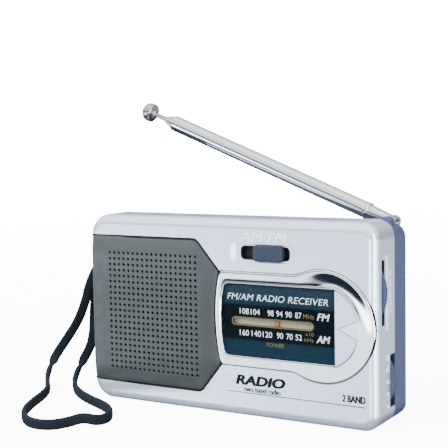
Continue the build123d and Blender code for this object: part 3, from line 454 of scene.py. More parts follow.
def webbing():
    """Black webbing: a herringbone of threads across it and raised edges, its crests coloured lighter as a
    painted highlight.
    """
    m = Nodes("webbing")
    along = m.add("ShaderNodeAttribute", attribute_name="along").outputs["Fac"]
    across = m.add("ShaderNodeAttribute", attribute_name="across").outputs["Fac"]
    lean = m.maths("MULTIPLY", m.wave(across, WEAVE_ACROSS), 2.6)
    threads = m.maths("SINE", m.maths("MULTIPLY_ADD", along, 2 * pi / WEAVE_ALONG, lean))
    ribs = m.wave(across, WEAVE_RIB)
    height = m.maths("MULTIPLY_ADD", threads, 0.6, ribs)
    fuzz = m.noise(3000, 3)
    height = m.maths("ADD", height, fuzz)
    # Painted highlight: the weave's pattern is the webbing's own, but its raised crests are coloured
    # lighter than its hollows for the light they catch.
    dark, light = (0.0006, 0.0012, 0.0024), (0.014, 0.020, 0.028)
    m.colour(m.ramp(m.span(height, (-1.4, 2.2), (0, 1)), [(0.0, dark), (1.0, light)]))
    m.roughness(m.spread(fuzz, 0.7, 0.9))
    m.set(Specular_IOR_Level=0.15)
    m.bump(height, 0.00008, 0.8)
    return m.owner


def clear(name):
    """Clear plastic: what lies behind shows through, under a faint gloss."""
    m = Nodes(name)
    m.colour(m.ramp(m.noise(120, 2), [(0.3, (0.0001, 0.0001, 0.0002)), (0.7, (0.0002, 0.0002, 0.0003))]))
    m.roughness(m.spread(m.noise(300, 3), 0.04, 0.07))
    m.set(Alpha=0.03, Specular_IOR_Level=0.0)
    return m.owner


def cell_jacket():
    """A plain cell jacket: green, with a pale ring printed round its middle."""
    m = Nodes("cell_jacket")
    place = m.span(m.axis("X"), (-0.017, 0.036), (0, 1))
    green, pale = (0.018, 0.085, 0.050), (0.42, 0.43, 0.40)
    stops = [(0.0, green), (0.45, green), (0.46, pale), (0.52, pale), (0.53, green), (1.0, green)]
    m.colour(m.ramp(place, stops))
    m.roughness(m.spread(m.noise(500, 3), 0.25, 0.4))
    m.set(Metallic=0.4)
    m.bump(m.noise(2000, 2), 0.00001)
    return m.owner


def board():
    """A brown resin board with fine fibres."""
    m = Nodes("board")
    fibres = m.noise(700, 4, (1, 1, 9))
    m.colour(m.ramp(fibres, [(0.25, (0.20, 0.12, 0.045)), (0.75, (0.36, 0.24, 0.10))]))
    m.roughness(m.spread(m.noise(1500, 2), 0.4, 0.6))
    m.bump(fibres, 0.00002)
    return m.owner


def fibrous(name, dark, light, scale, depth):
    """Pressed pulp or thin cloth."""
    m = Nodes(name)
    fibres = m.noise(scale, 5)
    m.colour(m.ramp(fibres, [(0.3, dark), (0.7, light)]))
    m.roughness(m.spread(m.noise(400, 2), 0.85, 0.98))
    m.set(Specular_IOR_Level=0.1)
    m.bump(fibres, depth)
    return m.owner


def silver_paint():
    """Pale bluish silver paint over plastic: fine flake, a soft gloss and faint mottling."""
    m = Nodes("silver_plastic")
    flake = m.noise(4500, 2, rough=0.6)
    m.colour(m.ramp(flake, [(0.25, (0.612, 0.716, 0.848)), (0.75, (0.664, 0.772, 0.914))]))
    m.roughness(m.spread(m.noise(220, 4), 0.26, 0.34))
    m.set(Metallic=0.6, Specular_IOR_Level=0.5, Coat_Weight=0.3, Coat_Roughness=0.1)
    m.bump(flake, 0.000001)
    return m.owner


def gunmetal():
    """Gunmetal paint on the grille, with fine flake, a satin gloss and a painted sheen that lightens its
    top and bottom.
    """
    m = Nodes("grille_paint")
    flake = m.noise(5200, 2, rough=0.7)
    # Painted light: the grille is made lighter towards its top and its bottom, for the sheen that those
    # parts catch.
    painted_top_light = m.span(m.axis("Z"), (0.040, 0.062), (0.0, 0.36))
    painted_bottom_light = m.span(m.axis("Z"), (0.018, 0.008), (0.0, 0.28))
    paint = m.maths("ADD", flake, m.maths("MAXIMUM", painted_top_light, painted_bottom_light))
    m.colour(m.ramp(paint, [
        (0.25, (0.0225, 0.0268, 0.0276)), (0.62, (0.0300, 0.0357, 0.0370)), (1.0, (0.0520, 0.0620, 0.0640)),
    ]))
    m.roughness(m.spread(m.noise(260, 4), 0.36, 0.46))
    m.set(Metallic=0.15)
    m.bump(flake, 0.00001)
    return m.owner


def dial_print():
    """The printed dial: dark teal, with a near black band behind the two scales, paling towards its top as
    a painted reflection.
    """
    m = Nodes("dial_print")
    teal = (0.0050, 0.0160, 0.0255)
    # Painted reflection: the teal pales towards the dial's top, for the glare on the lens over it.
    pale = (0.0120, 0.0260, 0.0370)
    night = (0.0011, 0.0032, 0.0054)
    low, high, top = (z / CASE_HEIGHT for z in (28.3, 41.1, 48.0))
    place = m.span(m.axis("Z"), (0.0, CASE_HEIGHT * MM), (0, 1))
    place = m.maths("ADD", place, m.span(m.noise(900, 2), (0.3, 0.7), (-0.0015, 0.0015)))
    m.colour(m.ramp(place, [
        (0.0, teal), (low - 0.003, teal), (low + 0.003, night),
        (high - 0.003, night), (high + 0.003, teal), (top, pale),
    ]))
    m.roughness(m.spread(m.noise(800, 3), 0.4, 0.5))
    m.set(Specular_IOR_Level=0.05)
    m.bump(m.noise(5000, 2), 0.000002)
    return m.owner


# Colour, roughness, how fine the grain is and how deep, and for some how glossy
MOULDED = {
    "slate_plastic": ((0.054, 0.070, 0.150), 0.5, 3600, 0.00003),
    "dark_slate_plastic": ((0.019, 0.027, 0.045), 0.45, 4200, 0.00001, 0.2),
    "cream_plastic": ((0.30, 0.268, 0.175), 0.4, 5000, 0.00001),
    "red_lens": ((0.5, 0.02, 0.015), 0.2, 5000, 0.000004),
    "ferrite": ((0.035, 0.035, 0.04), 0.55, 2600, 0.00004),
    "phenolic": ((0.2, 0.1, 0.04), 0.45, 2400, 0.00002),
    "white_plastic": ((0.72, 0.72, 0.68), 0.4, 4200, 0.00001),
    "black_plastic": ((0.006, 0.007, 0.009), 0.45, 3800, 0.00002, 0.12),
    "orange_plastic": ((0.6, 0.2, 0.03), 0.4, 4000, 0.00001),
    "tan_ceramic": ((0.5, 0.36, 0.2), 0.5, 4000, 0.00002),
    "cord": ((0.6, 0.57, 0.5), 0.7, 9000, 0.00003),
    "lead_wire": ((0.4, 0.02, 0.015), 0.45, 3000, 0.00001),
    "pointer_plastic": ((0.20, 0.084, 0.024), 0.35, 5000, 0.00001),
}
MATERIALS = {name: moulded(name, *finish) for name, finish in MOULDED.items()}
MATERIALS.update({
    "silver_plastic": silver_paint(),
    "grille_paint": gunmetal(),
    "black_cloth": fibrous("black_cloth", (0.002, 0.002, 0.003), (0.006, 0.006, 0.007), 6000, 0.00004),
    "chrome": metal("chrome", (0.80, 0.83, 0.88), 0.09, wear=0.03),
    "antenna_chrome": metal("antenna_chrome", (0.66, 0.69, 0.73), 0.11, wear=0.03, metallic=0.95),
    "nickel": metal("nickel", (0.36, 0.36, 0.37), 0.24, wear=0.05, metallic=0.9),
    "clear_plastic": clear("clear_plastic"),
    "dial_print": dial_print(),
    "board": board(),
    "steel": metal("steel", (0.52, 0.52, 0.52), 0.32, (1, 6, 1)),
    "spring_steel": metal("spring_steel", (0.6, 0.6, 0.61), 0.25, (1, 1, 5)),
    "paper": fibrous("paper", (0.018, 0.018, 0.02), (0.055, 0.055, 0.06), 2600, 0.00008),
    "copper": metal("copper", (0.55, 0.2, 0.07), 0.3, (20, 1, 1), vary=0.3),
    "cell_jacket": cell_jacket(),
    "webbing": webbing(),
    "brass": metal("brass", (0.65, 0.47, 0.2), 0.25),
})
# Painted glint: the raised marks are the case's own moulding, coloured near white for the light they catch.
PAINTED_GLINT = moulded("painted_glint", (0.88, 0.92, 0.95), 0.3, 5000, 0.000006, vary=0.03)
WHITE_INK = moulded("white_ink", (0.60, 0.65, 0.69), 0.45, 6000, 0.000006, vary=0.03)
GOLD_INK = moulded("gold_ink", (0.085, 0.070, 0.016), 0.4, 6000, 0.000006, vary=0.1)
BLACK_INK = moulded("black_ink", (0.003, 0.004, 0.006), 0.4, 6000, 0.000006, gloss=0.1)

for entry in frame["record"]["subparts"]:
    node = NODES[entry["node"]]
    node.data.materials.clear()
    node.data.materials.append(MATERIALS[entry["material_slot"]])

place(strap, "case", "webbing", "wrist_strap")

# ------------------------ dial bezel and trim

# Centre and radius of the bezel's round end, and of the trim inside it
EYE = (39.5, 35.5)
EYE_R = 19.9
TRIM = (39.0, 35.3)
TRIM_R = 14.3


def bezel_loops():
    """Matching points round the bezel's outer and inner edges, clockwise from its lower left."""
    side = [p for p in arc((72.5, 35.8), 75.4, 193.0, 167.0, 200) if 19.9 < p[1] < 51.7]
    bulge = [(-0.55, 28.5), (-0.85, 32.5), (-0.9, 35.5), (-0.85, 38.5), (-0.55, 42.5)]
    neck = arc((27.97, 62.0), 9.0, 269, 293.5, 10) + arc(EYE, EYE_R, 112.5, 78, 20)
    foot = arc(EYE, EYE_R, -78, -116.3, 20) + arc((26.68, 9.6), 9.0, 63.7, 91, 10)
    # Side, top, neck, eye, foot and base: the outer run, the inner run and how many points each has
    runs = (
        (
            [(-0.35, 18.75), (-0.85, 19.4)] + side + [(-1.0, 52.2), (-0.5, 52.85)],
            arc((2.25, 24.45), 2.0, 262, 185, 12) + bulge + arc((2.25, 46.55), 2.0, 175, 98, 12),
            30,
        ),
        ([(0.3, 53.0), (27.97, 53.0)], [(2.7, 48.6), (29.0, 48.6)], 24),
        (neck, [(30.0, 48.6), (43.9, 48.6)], 26),
        (arc(EYE, EYE_R, 75.8, -75.8, 90), arc(TRIM, TRIM_R, 67.8, -67.8, 90), 90),
        (foot, [(43.9, 22.4), (29.0, 22.4)], 26),
        ([(25.6, 18.6), (0.4, 18.6)], [(27.6, 22.4), (2.9, 22.4)], 22),
    )
    outer = [point for run, _, count in runs for point in resample(run, count)]
    inner = [point for _, run, count in runs for point in resample(run, count)]
    return outer, inner


# How far in from the outer edge, and how high over the case: a thin rim, a dish and a lip
BEZEL_PROFILE = [
    (0.0, -0.9), (0.0, 0.2), (0.01, 0.5), (0.035, 0.72), (0.075, 0.84), (0.12, 0.86), (0.17, 0.80),
    (0.25, 0.66), (0.34, 0.48), (0.44, 0.30), (0.54, 0.16), (0.64, 0.05), (0.74, -0.02), (0.82, -0.04),
    (0.86, 0.02), (0.89, 0.13), (0.92, 0.19), (0.96, 0.20), (0.99, 0.14), (1.0, 0.02), (1.0, -0.9),
]
# The same band along its straight top: nearly flat, then down to the lip
BEZEL_BAR = [
    (0.0, -0.9), (0.0, 0.2), (0.01, 0.48), (0.035, 0.66), (0.075, 0.75), (0.12, 0.78), (0.20, 0.785),
    (0.30, 0.78), (0.40, 0.765), (0.50, 0.74), (0.60, 0.70), (0.70, 0.64), (0.78, 0.56), (0.83, 0.42),
    (0.86, 0.22), (0.885, 0.14), (0.92, 0.19), (0.96, 0.20), (0.99, 0.14), (1.0, 0.02), (1.0, -0.9),
]
# The same band where it is plain, along its foot
BEZEL_PLAIN = [
    (0.0, -0.9), (0.0, 0.16), (0.01, 0.28), (0.03, 0.36), (0.06, 0.40), (0.10, 0.42), (0.17, 0.42),
    (0.25, 0.41), (0.34, 0.40), (0.44, 0.38), (0.54, 0.36), (0.64, 0.34), (0.74, 0.32), (0.82, 0.30),
    (0.86, 0.29), (0.89, 0.28), (0.92, 0.27), (0.96, 0.24), (0.99, 0.16), (1.0, 0.02), (1.0, -0.9),
]


def make_bezel(outer, inner):
    """The chrome ring, whose section changes from plain at its foot to dished round the eye."""
    verts = []
    for a, b in zip(outer, inner):
        shaped = smooth_step(28.0, 50.0, a[1])
        swollen = smooth_step(28.0, 46.0, a[0])
        for dished, bar, plain in zip(BEZEL_PROFILE, BEZEL_BAR, BEZEL_PLAIN):
            t, height = mix(plain, mix(bar, dished, swollen), shaped)
            verts.append(front(*mix(a, b, t), height))
    faces = strip_faces(len(outer), len(BEZEL_PROFILE), closed_rows=True, closed_columns=True)
    piece = crease(link_mesh("bezel_ring", verts, faces), 50)
    place(piece, "case", "chrome", "dial_bezel")


def make_bezel_gap_shade(outer):
    """A black band laid in the gap round the bezel: painted shade for that gap's shadow."""
    verts = []
    for i, spot in enumerate(outer):
        before, after = outer[i - 1], outer[(i + 1) % len(outer)]
        dx, dz = after[0] - before[0], after[1] - before[1]
        run = hypot(dx, dz)
        for reach, height in ((-0.3, -0.5), (-0.3, -0.04), (0.24, -0.04), (0.24, -0.5)):
            verts.append(front(spot[0] - dz / run * reach, spot[1] + dx / run * reach, height))
    faces = strip_faces(len(outer), 4, closed_rows=True, closed_columns=True)
    gap_shade = link_mesh("bezel_gap_shade", verts, faces)
    place(tidy(gap_shade, 40), "case", "black_plastic")


def make_bezel_wedge():
    """The wedge between the two lobes of the trim, with bevelled flanks."""
    top, tip, base = (53.6, 38.87), (45.75, 35.2), (53.6, 31.53)
    verts = []
    for inset, height in ((0.0, -0.9), (0.0, 0.16), (0.12, 0.26), (0.5, 0.28)):
        verts += [
            front(top[0], top[1] - inset, height),
            front(tip[0] + 2.2 * inset, tip[1], height),
            front(base[0], base[1] + inset, height),
        ]
    faces = strip_faces(4, 3, closed_columns=True) + [(2, 1, 0), (9, 10, 11)]
    wedge = link_mesh("bezel_wedge", verts, faces, smooth=False)
    place(wedge, "case", "chrome")


bezel_outer, bezel_inner = bezel_loops()
make_bezel(bezel_outer, bezel_inner)
make_bezel_gap_shade(bezel_outer)
make_bezel_wedge()


# How far in from the lens's edge, and how high over the case: its back, edge and crown
LENS_PROFILE = [
    (0.0, -0.75), (0.0, -0.22), (0.05, -0.16), (0.15, -0.13), (2.0, -0.10), (5.0, -0.06), (9.0, -0.04),
]


def make_lens():
    """The clear window, slightly crowned, with a small clearance over the printed dial."""
    loops = []
    for inset, height in LENS_PROFILE:
        radius = max(1.7 - inset, 0.3)
        loop = rounded_loop((-0.75 + inset, 43.75 - inset), 35.5, 25.9 - 2 * inset, radius)
        loops.append([front(x, z, height) for x, z in loop])
    verts = [v for loop in loops for v in loop]
    piece = link_mesh("lens_window", verts, capped_faces(len(loops), len(loops[0])))
    place(tidy(piece, 30), "case", "clear_plastic", "dial_lens")


make_lens()

# ------------------------ speaker grille

# The sheet's edges, where its flat front ends, the bend's radius, its blunted corners and its crown
GRILLE_TOP = 63.8
GRILLE_BASE = 7.8
GRILLE_FLAT_X = -56.4
GRILLE_EDGE_R = 3.6
GRILLE_BLUNT = 1.6
GRILLE_BACK_Y = -6.0
GRILLE_CROWN = 0.75
GRILLE_CROWN_WIDTH = 7.5
GRILLE_THICK = 1.3
# How far apart the sheet's points are where it bends and where it is flat, and how far from its edge
GRID_STEP = (0.55, 1.1)
GRID_MARGIN = 0.8
GRID_ROWS = 50
# The holes, the ring round each from which the sheet turns in, and how deep it turns
HOLE_R = 0.52
HOLE_RIM_R = 0.64
HOLE_RIM_DEPTH = 0.1
HOLE_PITCH = (2.14, 2.21)
HOLE_CENTRE = (-30.5, 35.4)
HOLE_COUNTS = (19, 21)
HOLE_SIDES = 12


def hole_centre(column, row):
    """Where a hole of the grid is, in the flattened grille."""
    return tuple(
        middle + (place - (count - 1) / 2) * pitch
        for middle, place, count, pitch in zip(HOLE_CENTRE, (column, row), HOLE_COUNTS, HOLE_PITCH)
    )


def grille_edge():
    """The grille's flattened outline: left return unrolled, right side following the bezel."""
    wrap = GRILLE_FLAT_X - GRILLE_EDGE_R * pi / 2 + FACE_Y + GRILLE_EDGE_R - GRILLE_BACK_Y
    right = [
        (-11.2, GRILLE_TOP), (-1.7, 52.6), (-2.55, 48.0), (-3.3, 42.5), (-3.6, 36.5),
        (-3.35, 30.5), (-2.5, 24.5), (-1.3, 18.6), (-9.9, GRILLE_BASE),
    ]
    blunt = []
    for before, corner, after in ((None, right[0], right[1]), (right[-2], right[-1], None)):
        goals = (before or (wrap, corner[1]), after or (wrap, corner[1]))
        a, b = (mix(corner, goal, GRILLE_BLUNT / dist(goal, corner)) for goal in goals)
        blunt.append([mix(mix(a, corner, t), mix(corner, b, t), t) for t in (0, 0.2, 0.4, 0.6, 0.8, 1.0)])
    return [(wrap, GRILLE_BASE), (wrap, GRILLE_TOP)], blunt[0] + right[1:-1] + blunt[1]


def grille_point(u, z, right, depth=0.0):
    """A place on the crowned grille, from its flattened coordinates, depth under its surface."""
    edge = 99.0
    spots = [(-90.0, GRILLE_TOP)] + right + [(-90.0, GRILLE_BASE)]
    for a, b in zip(spots, spots[1:]):
        dx, dz = b[0] - a[0], b[1] - a[1]
        t = min(max(((u - a[0]) * dx + (z - a[1]) * dz) / (dx * dx + dz * dz), 0), 1)
        edge = min(edge, hypot(u - a[0] - dx * t, z - a[1] - dz * t))
    rise = GRILLE_CROWN * sin(min(edge / GRILLE_CROWN_WIDTH, 1) * pi / 2) ** 1.3
    rise -= 0.25 * max(1 - edge / 0.6, 0) ** 2
    turn = min(max((GRILLE_FLAT_X - u) / GRILLE_EDGE_R, 0), pi / 2)
    beyond = max(GRILLE_FLAT_X - GRILLE_EDGE_R * pi / 2 - u, 0)
    rise *= 1 - smooth_step(0.2, 1.2, turn) * 0.75
    reach = GRILLE_EDGE_R + rise - depth
    if turn <= 0:
        return (u * MM, (FACE_Y - rise + depth) * MM, z * MM)
    return (
        (GRILLE_FLAT_X - reach * sin(turn)) * MM,
        (FACE_Y + GRILLE_EDGE_R - reach * cos(turn) + beyond) * MM,
        z * MM,
    )


def clear_of(u, z, right):
    """Whether a point lies well inside the grille's right boundary."""
    for a, b in zip(right, right[1:]):
        if min(a[1], b[1]) <= z <= max(a[1], b[1]):
            limit = mix(a[0], b[0], (z - a[1]) / (b[1] - a[1]) if a[1] != b[1] else 0)
            if u > limit - 0.7:
                return False
    return True


def make_grille():
    """The crowned sheet, wrapped round the left edge, with a grid of holes whose rims turn in."""
    left, right = grille_edge()
    wrap = left[0][0]
    outline = []
    corners = left + right
    for a, b in zip(corners, corners[1:] + corners[:1]):
        steps = max(int(dist(a, b) / 1.2), 1)
        outline += [mix(a, b, i / steps) for i in range(steps)]
    points = [Vector(p) for p in outline]
    edges = [(i, (i + 1) % len(points)) for i in range(len(points))]
    rims = set()
    for column in range(HOLE_COUNTS[0]):
        for row in range(HOLE_COUNTS[1]):
            x, z = hole_centre(column, row)
            for radius in (HOLE_RIM_R, HOLE_R):
                first = len(points)
                for k in range(HOLE_SIDES):
                    angle = 2 * pi * k / HOLE_SIDES
                    points.append(Vector((x + radius * cos(angle), z + radius * sin(angle))))
                edges += [(first + k, first + (k + 1) % HOLE_SIDES) for k in range(HOLE_SIDES)]
            rims.update(range(first, first + HOLE_SIDES))
    low, high = hole_centre(-0.5, -0.5), hole_centre(HOLE_COUNTS[0] - 0.5, HOLE_COUNTS[1] - 0.5)
    # Points between the holes' field and the edge, closer together where the sheet bends
    u = wrap + 0.6
    while u < -1.5:
        for row in range(GRID_ROWS):
            z = mix(GRILLE_BASE + GRID_MARGIN, GRILLE_TOP - GRID_MARGIN, row / (GRID_ROWS - 1))
            inside = low[0] < u < high[0] and low[1] < z < high[1]
            if not inside and clear_of(u, z, right):
                points.append(Vector((u, z)))
        u += GRID_STEP[0] if u < GRILLE_FLAT_X + 0.5 else GRID_STEP[1]
    flat, _, triangles, origins, *_ = delaunay_2d_cdt(points, edges, [], 1, 0.0005)
    depths = [0.0 if rims.isdisjoint(origin) else HOLE_RIM_DEPTH for origin in origins]
    keep = []
    for triangle in triangles:
        x = sum(flat[i][0] for i in triangle) / 3
        z = sum(flat[i][1] for i in triangle) / 3
        column = round((x - HOLE_CENTRE[0]) / HOLE_PITCH[0] + (HOLE_COUNTS[0] - 1) / 2)
        row = round((z - HOLE_CENTRE[1]) / HOLE_PITCH[1] + (HOLE_COUNTS[1] - 1) / 2)
        in_grid = 0 <= column < HOLE_COUNTS[0] and 0 <= row < HOLE_COUNTS[1]
        if not in_grid or dist((x, z), hole_centre(column, row)) >= HOLE_R:
            keep.append(tuple(triangle))
    count = len(flat)
    verts = [grille_point(*point, right, depth) for point, depth in zip(flat, depths)]
    verts += [grille_point(*point, right, GRILLE_THICK) for point in flat]
    faces = keep + [tuple(i + count for i in reversed(triangle)) for triangle in keep]
    faces += [(b, a, a + count, b + count) for a, b in open_edges(keep)]
    piece = link_mesh("grille_panel", verts, faces)
    place(tidy(piece, 32), "case", "grille_paint", "speaker_grille")


def make_grille_groove_shade():
    """A black band laid in the groove round the grille: painted shade for that groove's shadow."""
    right = grille_edge()[1]
    along = (-59.2, -40.0, -20.0)
    line = [(x, GRILLE_TOP) for x in along] + right + [(x, GRILLE_BASE) for x in reversed(along)]
    verts = []
    for i, spot in enumerate(line):
        before, after = line[max(i - 1, 0)], line[min(i + 1, len(line) - 1)]
        dx, dz = after[0] - before[0], after[1] - before[1]
        run = hypot(dx, dz)
        out = (-dz / run, dx / run)
        for reach, height in ((-0.25, -0.9), (-0.25, 0.015), (0.42, 0.015), (0.42, -0.9)):
            turn = max(GRILLE_FLAT_X - spot[0], 0) / GRILLE_EDGE_R
            x, z = spot[0] + out[0] * reach, spot[1] + out[1] * reach
            drop = GRILLE_EDGE_R * (1 - cos(min(turn, pi / 2)))
            verts.append(front(x, z, height - drop))
    piece = link_mesh("grille_groove_shade", verts, capped_faces(len(line), 4))
    place(tidy(piece, 40), "case", "black_plastic")


make_grille()
make_grille_groove_shade()

# ------------------------ band switch grip

# The slot's middle, and the grip's limits and corners
SLOT_Z = 59.9
GRIP_X = (12.8, 24.8)
GRIP_Z = (56.95, 62.85)
GRIP_CORNER_R = 1.2


def grip_height(x, z):
    """How far the grip stands out: a ramp on the left, a ridge, and ribs that run along it."""
    inward = min(z - GRIP_Z[0], GRIP_Z[1] - z)
    top = mix(0.3, 0.62, smooth_step(12.8, 15.5, x))
    top += 0.42 * smooth_step(15.4, 15.9, x) * (1 - smooth_step(16.7, 17.3, x))
    top += 0.10 * smooth_step(16.8, 17.4, x)
    ribs = smooth_step(17.2, 17.6, x) * (1 - smooth_step(23.3, 23.7, x)) * smooth_step(0.3, 0.55, inward)
    top -= 0.07 * ribs * (0.5 + 0.5 * cos(2 * pi * (z - GRIP_Z[0] - 0.3) / 0.66))
    top -= 0.55 * smooth_step(23.6, 24.7, x)
    return top - 0.5 * (1 - smooth_step(0.0, 0.75, inward))


def make_grip():
    """The grip as a fine grid of heights with a wall round it."""
    columns, rows = 96, 68
    middle, half = sum(GRIP_Z) / 2, (GRIP_Z[1] - GRIP_Z[0]) / 2
    verts = []
    for i in range(columns):
        for j in range(rows):
            x = mix(*GRIP_X, i / (columns - 1))
            z = mix(*GRIP_Z, j / (rows - 1))
            # Corners are drawn in to round them
            reach_x = min(x - GRIP_X[0], GRIP_X[1] - x)
            lost = GRIP_CORNER_R - sqrt(max(GRIP_CORNER_R**2 - max(GRIP_CORNER_R - reach_x, 0) ** 2, 0))
            z = middle + (z - middle) * (half - lost) / half
            verts.append(front(x, z, grip_height(x, z)))
    count = len(verts)
    faces = strip_faces(columns, rows)
    rim = [i * rows for i in range(columns)]
    rim += [(columns - 1) * rows + j for j in range(1, rows)]
    rim += [i * rows + rows - 1 for i in range(columns - 2, -1, -1)]
    rim += [j for j in range(rows - 2, 0, -1)]
    verts += [(verts[k][0], (FACE_Y + 0.6) * MM, verts[k][2]) for k in rim]
    for k, corner in enumerate(rim):
        n = (k + 1) % len(rim)
        faces.append((corner, count + k, count + n, rim[n]))
    faces.append(tuple(range(count, count + len(rim))))
    piece = link_mesh("band_switch_grip", verts, faces)
    place(tidy(piece, 45), "band_switch", "dark_slate_plastic")


make_grip()


def make_band_slot_shade():
    """A black band round the walls of the band switch slot: painted shade for the slot's shadowed walls."""
    outer = rounded_loop((7.3, 27.1), SLOT_Z, 5.1, 1.7)
    inner = rounded_loop((7.75, 26.65), SLOT_Z, 4.2, 1.25)
    levels = ((outer, -0.78), (inner, -0.82), (inner, -2.7), (outer, -2.7))
    verts = [front(x, z, height) for loop, height in levels for x, z in loop]
    faces = strip_faces(4, len(outer), closed_rows=True, closed_columns=True)
    piece = link_mesh("band_slot_shade", verts, faces)
    place(tidy(piece, 40), "case", "black_plastic")


make_band_slot_shade()


def make_shutter():
    """The black slide behind the slot that travels with the grip."""
    loop = rounded_loop((3.0, 31.4), SLOT_Z, 6.4, 0.8)
    verts = [front(x, z, -depth) for depth in (2.33, 2.65) for x, z in loop]
    piece = link_mesh("band_shutter", verts, capped_faces(2, len(loop)), smooth=False)
    place(tidy(piece), "band_switch", "black_plastic")


make_shutter()


def make_wheel_slot_shade(name, y_span, z_span):
    """A dark box in a slot in the right side that a wheel looks out of: painted shade for the slot's
    shadowed inside.
    """
    def loop(x, inset_y, inset_z):
        near, far = y_span[0] + inset_y, y_span[1] - inset_y
        low, high = z_span[0] + inset_z, z_span[1] - inset_z
        return [(x * MM, y * MM, z * MM) for y, z in ((near, low), (far, low), (far, high), (near, high))]

    verts = loop(59.9, 0, 0) + loop(59.85, 0.2, 0.3) + loop(57.5, 0.2, 0.3) + loop(57.5, 0, 0)
    faces = strip_faces(4, 4, closed_rows=True, closed_columns=True)
    place(tidy(link_mesh(name, verts, faces, smooth=False)), "case", "dark_slate_plastic")


make_wheel_slot_shade("tuning_slot_shade", (-10.72, -7.88), (36.4, 59.1))
make_wheel_slot_shade("volume_slot_shade", (-3.42, 0.98), (6.9, 25.7))

# ------------------------ antenna

# The mast's pivot and direction in metres, then the tubes in millimetres along it from the pivot
PIVOT = Vector((0.056, 0.0085, 0.0705))
RISE = radians(21.8)
MAST = Vector((-cos(RISE), 0, sin(RISE)))
SECTION_R = (3.0, 2.5, 2.0, 1.5)
SECTION_BODIES = ("antenna_mast", "antenna_second", "antenna_third", "antenna_fourth")
ROD_R = 0.95
TUBE_START = 10.6
TUBE_END = 97.9
STAGGER = 1.3
SET_BACK = 1.9
WALL = 0.4
# Along the mast from its pivot: half height, half thickness and how square the cut is
HINGE_CUTS = [
    (-2.25, 0.25, 2.3, 3.0), (-2.1, 0.95, 2.45, 3.0), (-1.7, 1.5, 2.5, 3.2), (-1.1, 1.96, 2.5, 3.2),
    (-0.4, 2.2, 2.5, 3.2), (0.6, 2.27, 2.5, 3.0), (2.2, 2.33, 2.5, 2.7), (4.0, 2.42, 2.5, 2.4),
    (6.0, 2.52, 2.58, 2.2), (7.8, 2.64, 2.68, 2.0), (8.8, 2.72, 2.74, 2.0), (8.95, 3.0, 3.0, 2.0),
    (9.15, 3.12, 3.12, 2.0), (10.3, 3.12, 3.12, 2.0), (10.5, 3.0, 3.0, 2.0), (10.58, 2.9, 2.9, 2.0),
]
# The knob's distance along the mast and radius, from its collar over the crown to its bore
KNOB_PROFILE = [
    (106.2, 0.96), (106.3, 1.5), (106.7, 1.75), (107.3, 1.8), (107.5, 2.1), (107.35, 2.9), (107.5, 3.3),
    (107.9, 3.58), (108.5, 3.66), (109.6, 3.66), (110.2, 3.55), (110.8, 3.3), (111.3, 2.85), (111.8, 2.2),
    (112.2, 1.3), (112.4, 0.5), (112.45, 0.02), (109.0, 0.02), (109.0, 0.96),
]


def make_hinge():
    """The mast's foot: a collar that takes the widest tube, drawn down to a flat-sided pivot."""
    lift = Vector((sin(RISE), 0, cos(RISE)))
    count = 48
    verts = []
    for distance, tall, thick, square in HINGE_CUTS:
        centre = PIVOT + MAST * distance * MM
        for i in range(count):
            a, b = cos(2 * pi * i / count), sin(2 * pi * i / count)
            up = abs(b) ** (2 / square) * tall * (1 if b >= 0 else -1)
            out = abs(a) ** (2 / square) * thick * (1 if a >= 0 else -1)
            verts.append(centre + lift * up * MM + Vector((0, out * MM, 0)))
    hinge = link_mesh("antenna_hinge", verts, capped_faces(len(HINGE_CUTS), count))
    place(tidy(hinge, 40), "antenna_mast", "antenna_chrome", "antenna_base")


def make_antenna():
    """Drawn tubes, each rolled in at its end on to the next, and the knob at the end of the rod."""
    for number, radius in enumerate(SECTION_R):
        start = TUBE_START if number == 0 else TUBE_START + SET_BACK + number * STAGGER
        end = TUBE_END + number * STAGGER
        mouth = (*SECTION_R, ROD_R)[number + 1] + 0.03
        profile = [
            (start, radius - WALL), (start, radius - 0.08), (start + 0.08, radius), (end - 1.5, radius),
            (end - 1.1, radius - 0.03), (end - 0.7, radius - 0.12), (end - 0.3, mix(radius, mouth, 0.72)),
            (end - 0.08, mix(radius, mouth, 0.92)), (end, mouth), (end - 0.25, mouth),
            (end - 1.0, radius - WALL), (start, radius - WALL),
        ]
        tube = turned(f"antenna_tube_{number + 1}", PIVOT, MAST, profile, 64)
        node = f"antenna_section_{number + 1}"
        place(tidy(tube, 40), SECTION_BODIES[number], "antenna_chrome", node)
    knob = turned("antenna_knob", PIVOT, MAST, KNOB_PROFILE, 56)
    place(tidy(knob, 50), "antenna_top", "antenna_chrome", "antenna_tip")
    for piece in (knob, NODES["antenna_rod"]):
        piece.data.materials.clear()
        piece.data.materials.append(MATERIALS["nickel"])


make_antenna()
make_hinge()

# ------------------------ printing and raised marks


def text_shape(words, shear=0.0, weight=0.0, spacing=1.0):
    """Letters as flat polygons in a box one unit high: points, faces and the box's width."""
    curve = bpy.data.curves.new("letters", "FONT")
    curve.body = words
    curve.shear = shear
    curve.offset = weight
    curve.space_character = spacing
    curve.resolution_u = 4
    curve.fill_mode = "FRONT"
    holder = bpy.data.objects.new("letters", curve)
    mesh = bpy.data.meshes.new_from_object(holder)
    points = [(v.co.x, v.co.y) for v in mesh.vertices]
    faces = [tuple(p.vertices) for p in mesh.polygons]
    bpy.data.objects.remove(holder)
    bpy.data.curves.remove(curve)
    bpy.data.meshes.remove(mesh)
    low_x, low_y = min(p[0] for p in points), min(p[1] for p in points)
    high = max(p[1] for p in points) - low_y
    wide = (max(p[0] for p in points) - low_x) / high
    return [((x - low_x) / high, (y - low_y) / high) for x, y in points], faces, wide


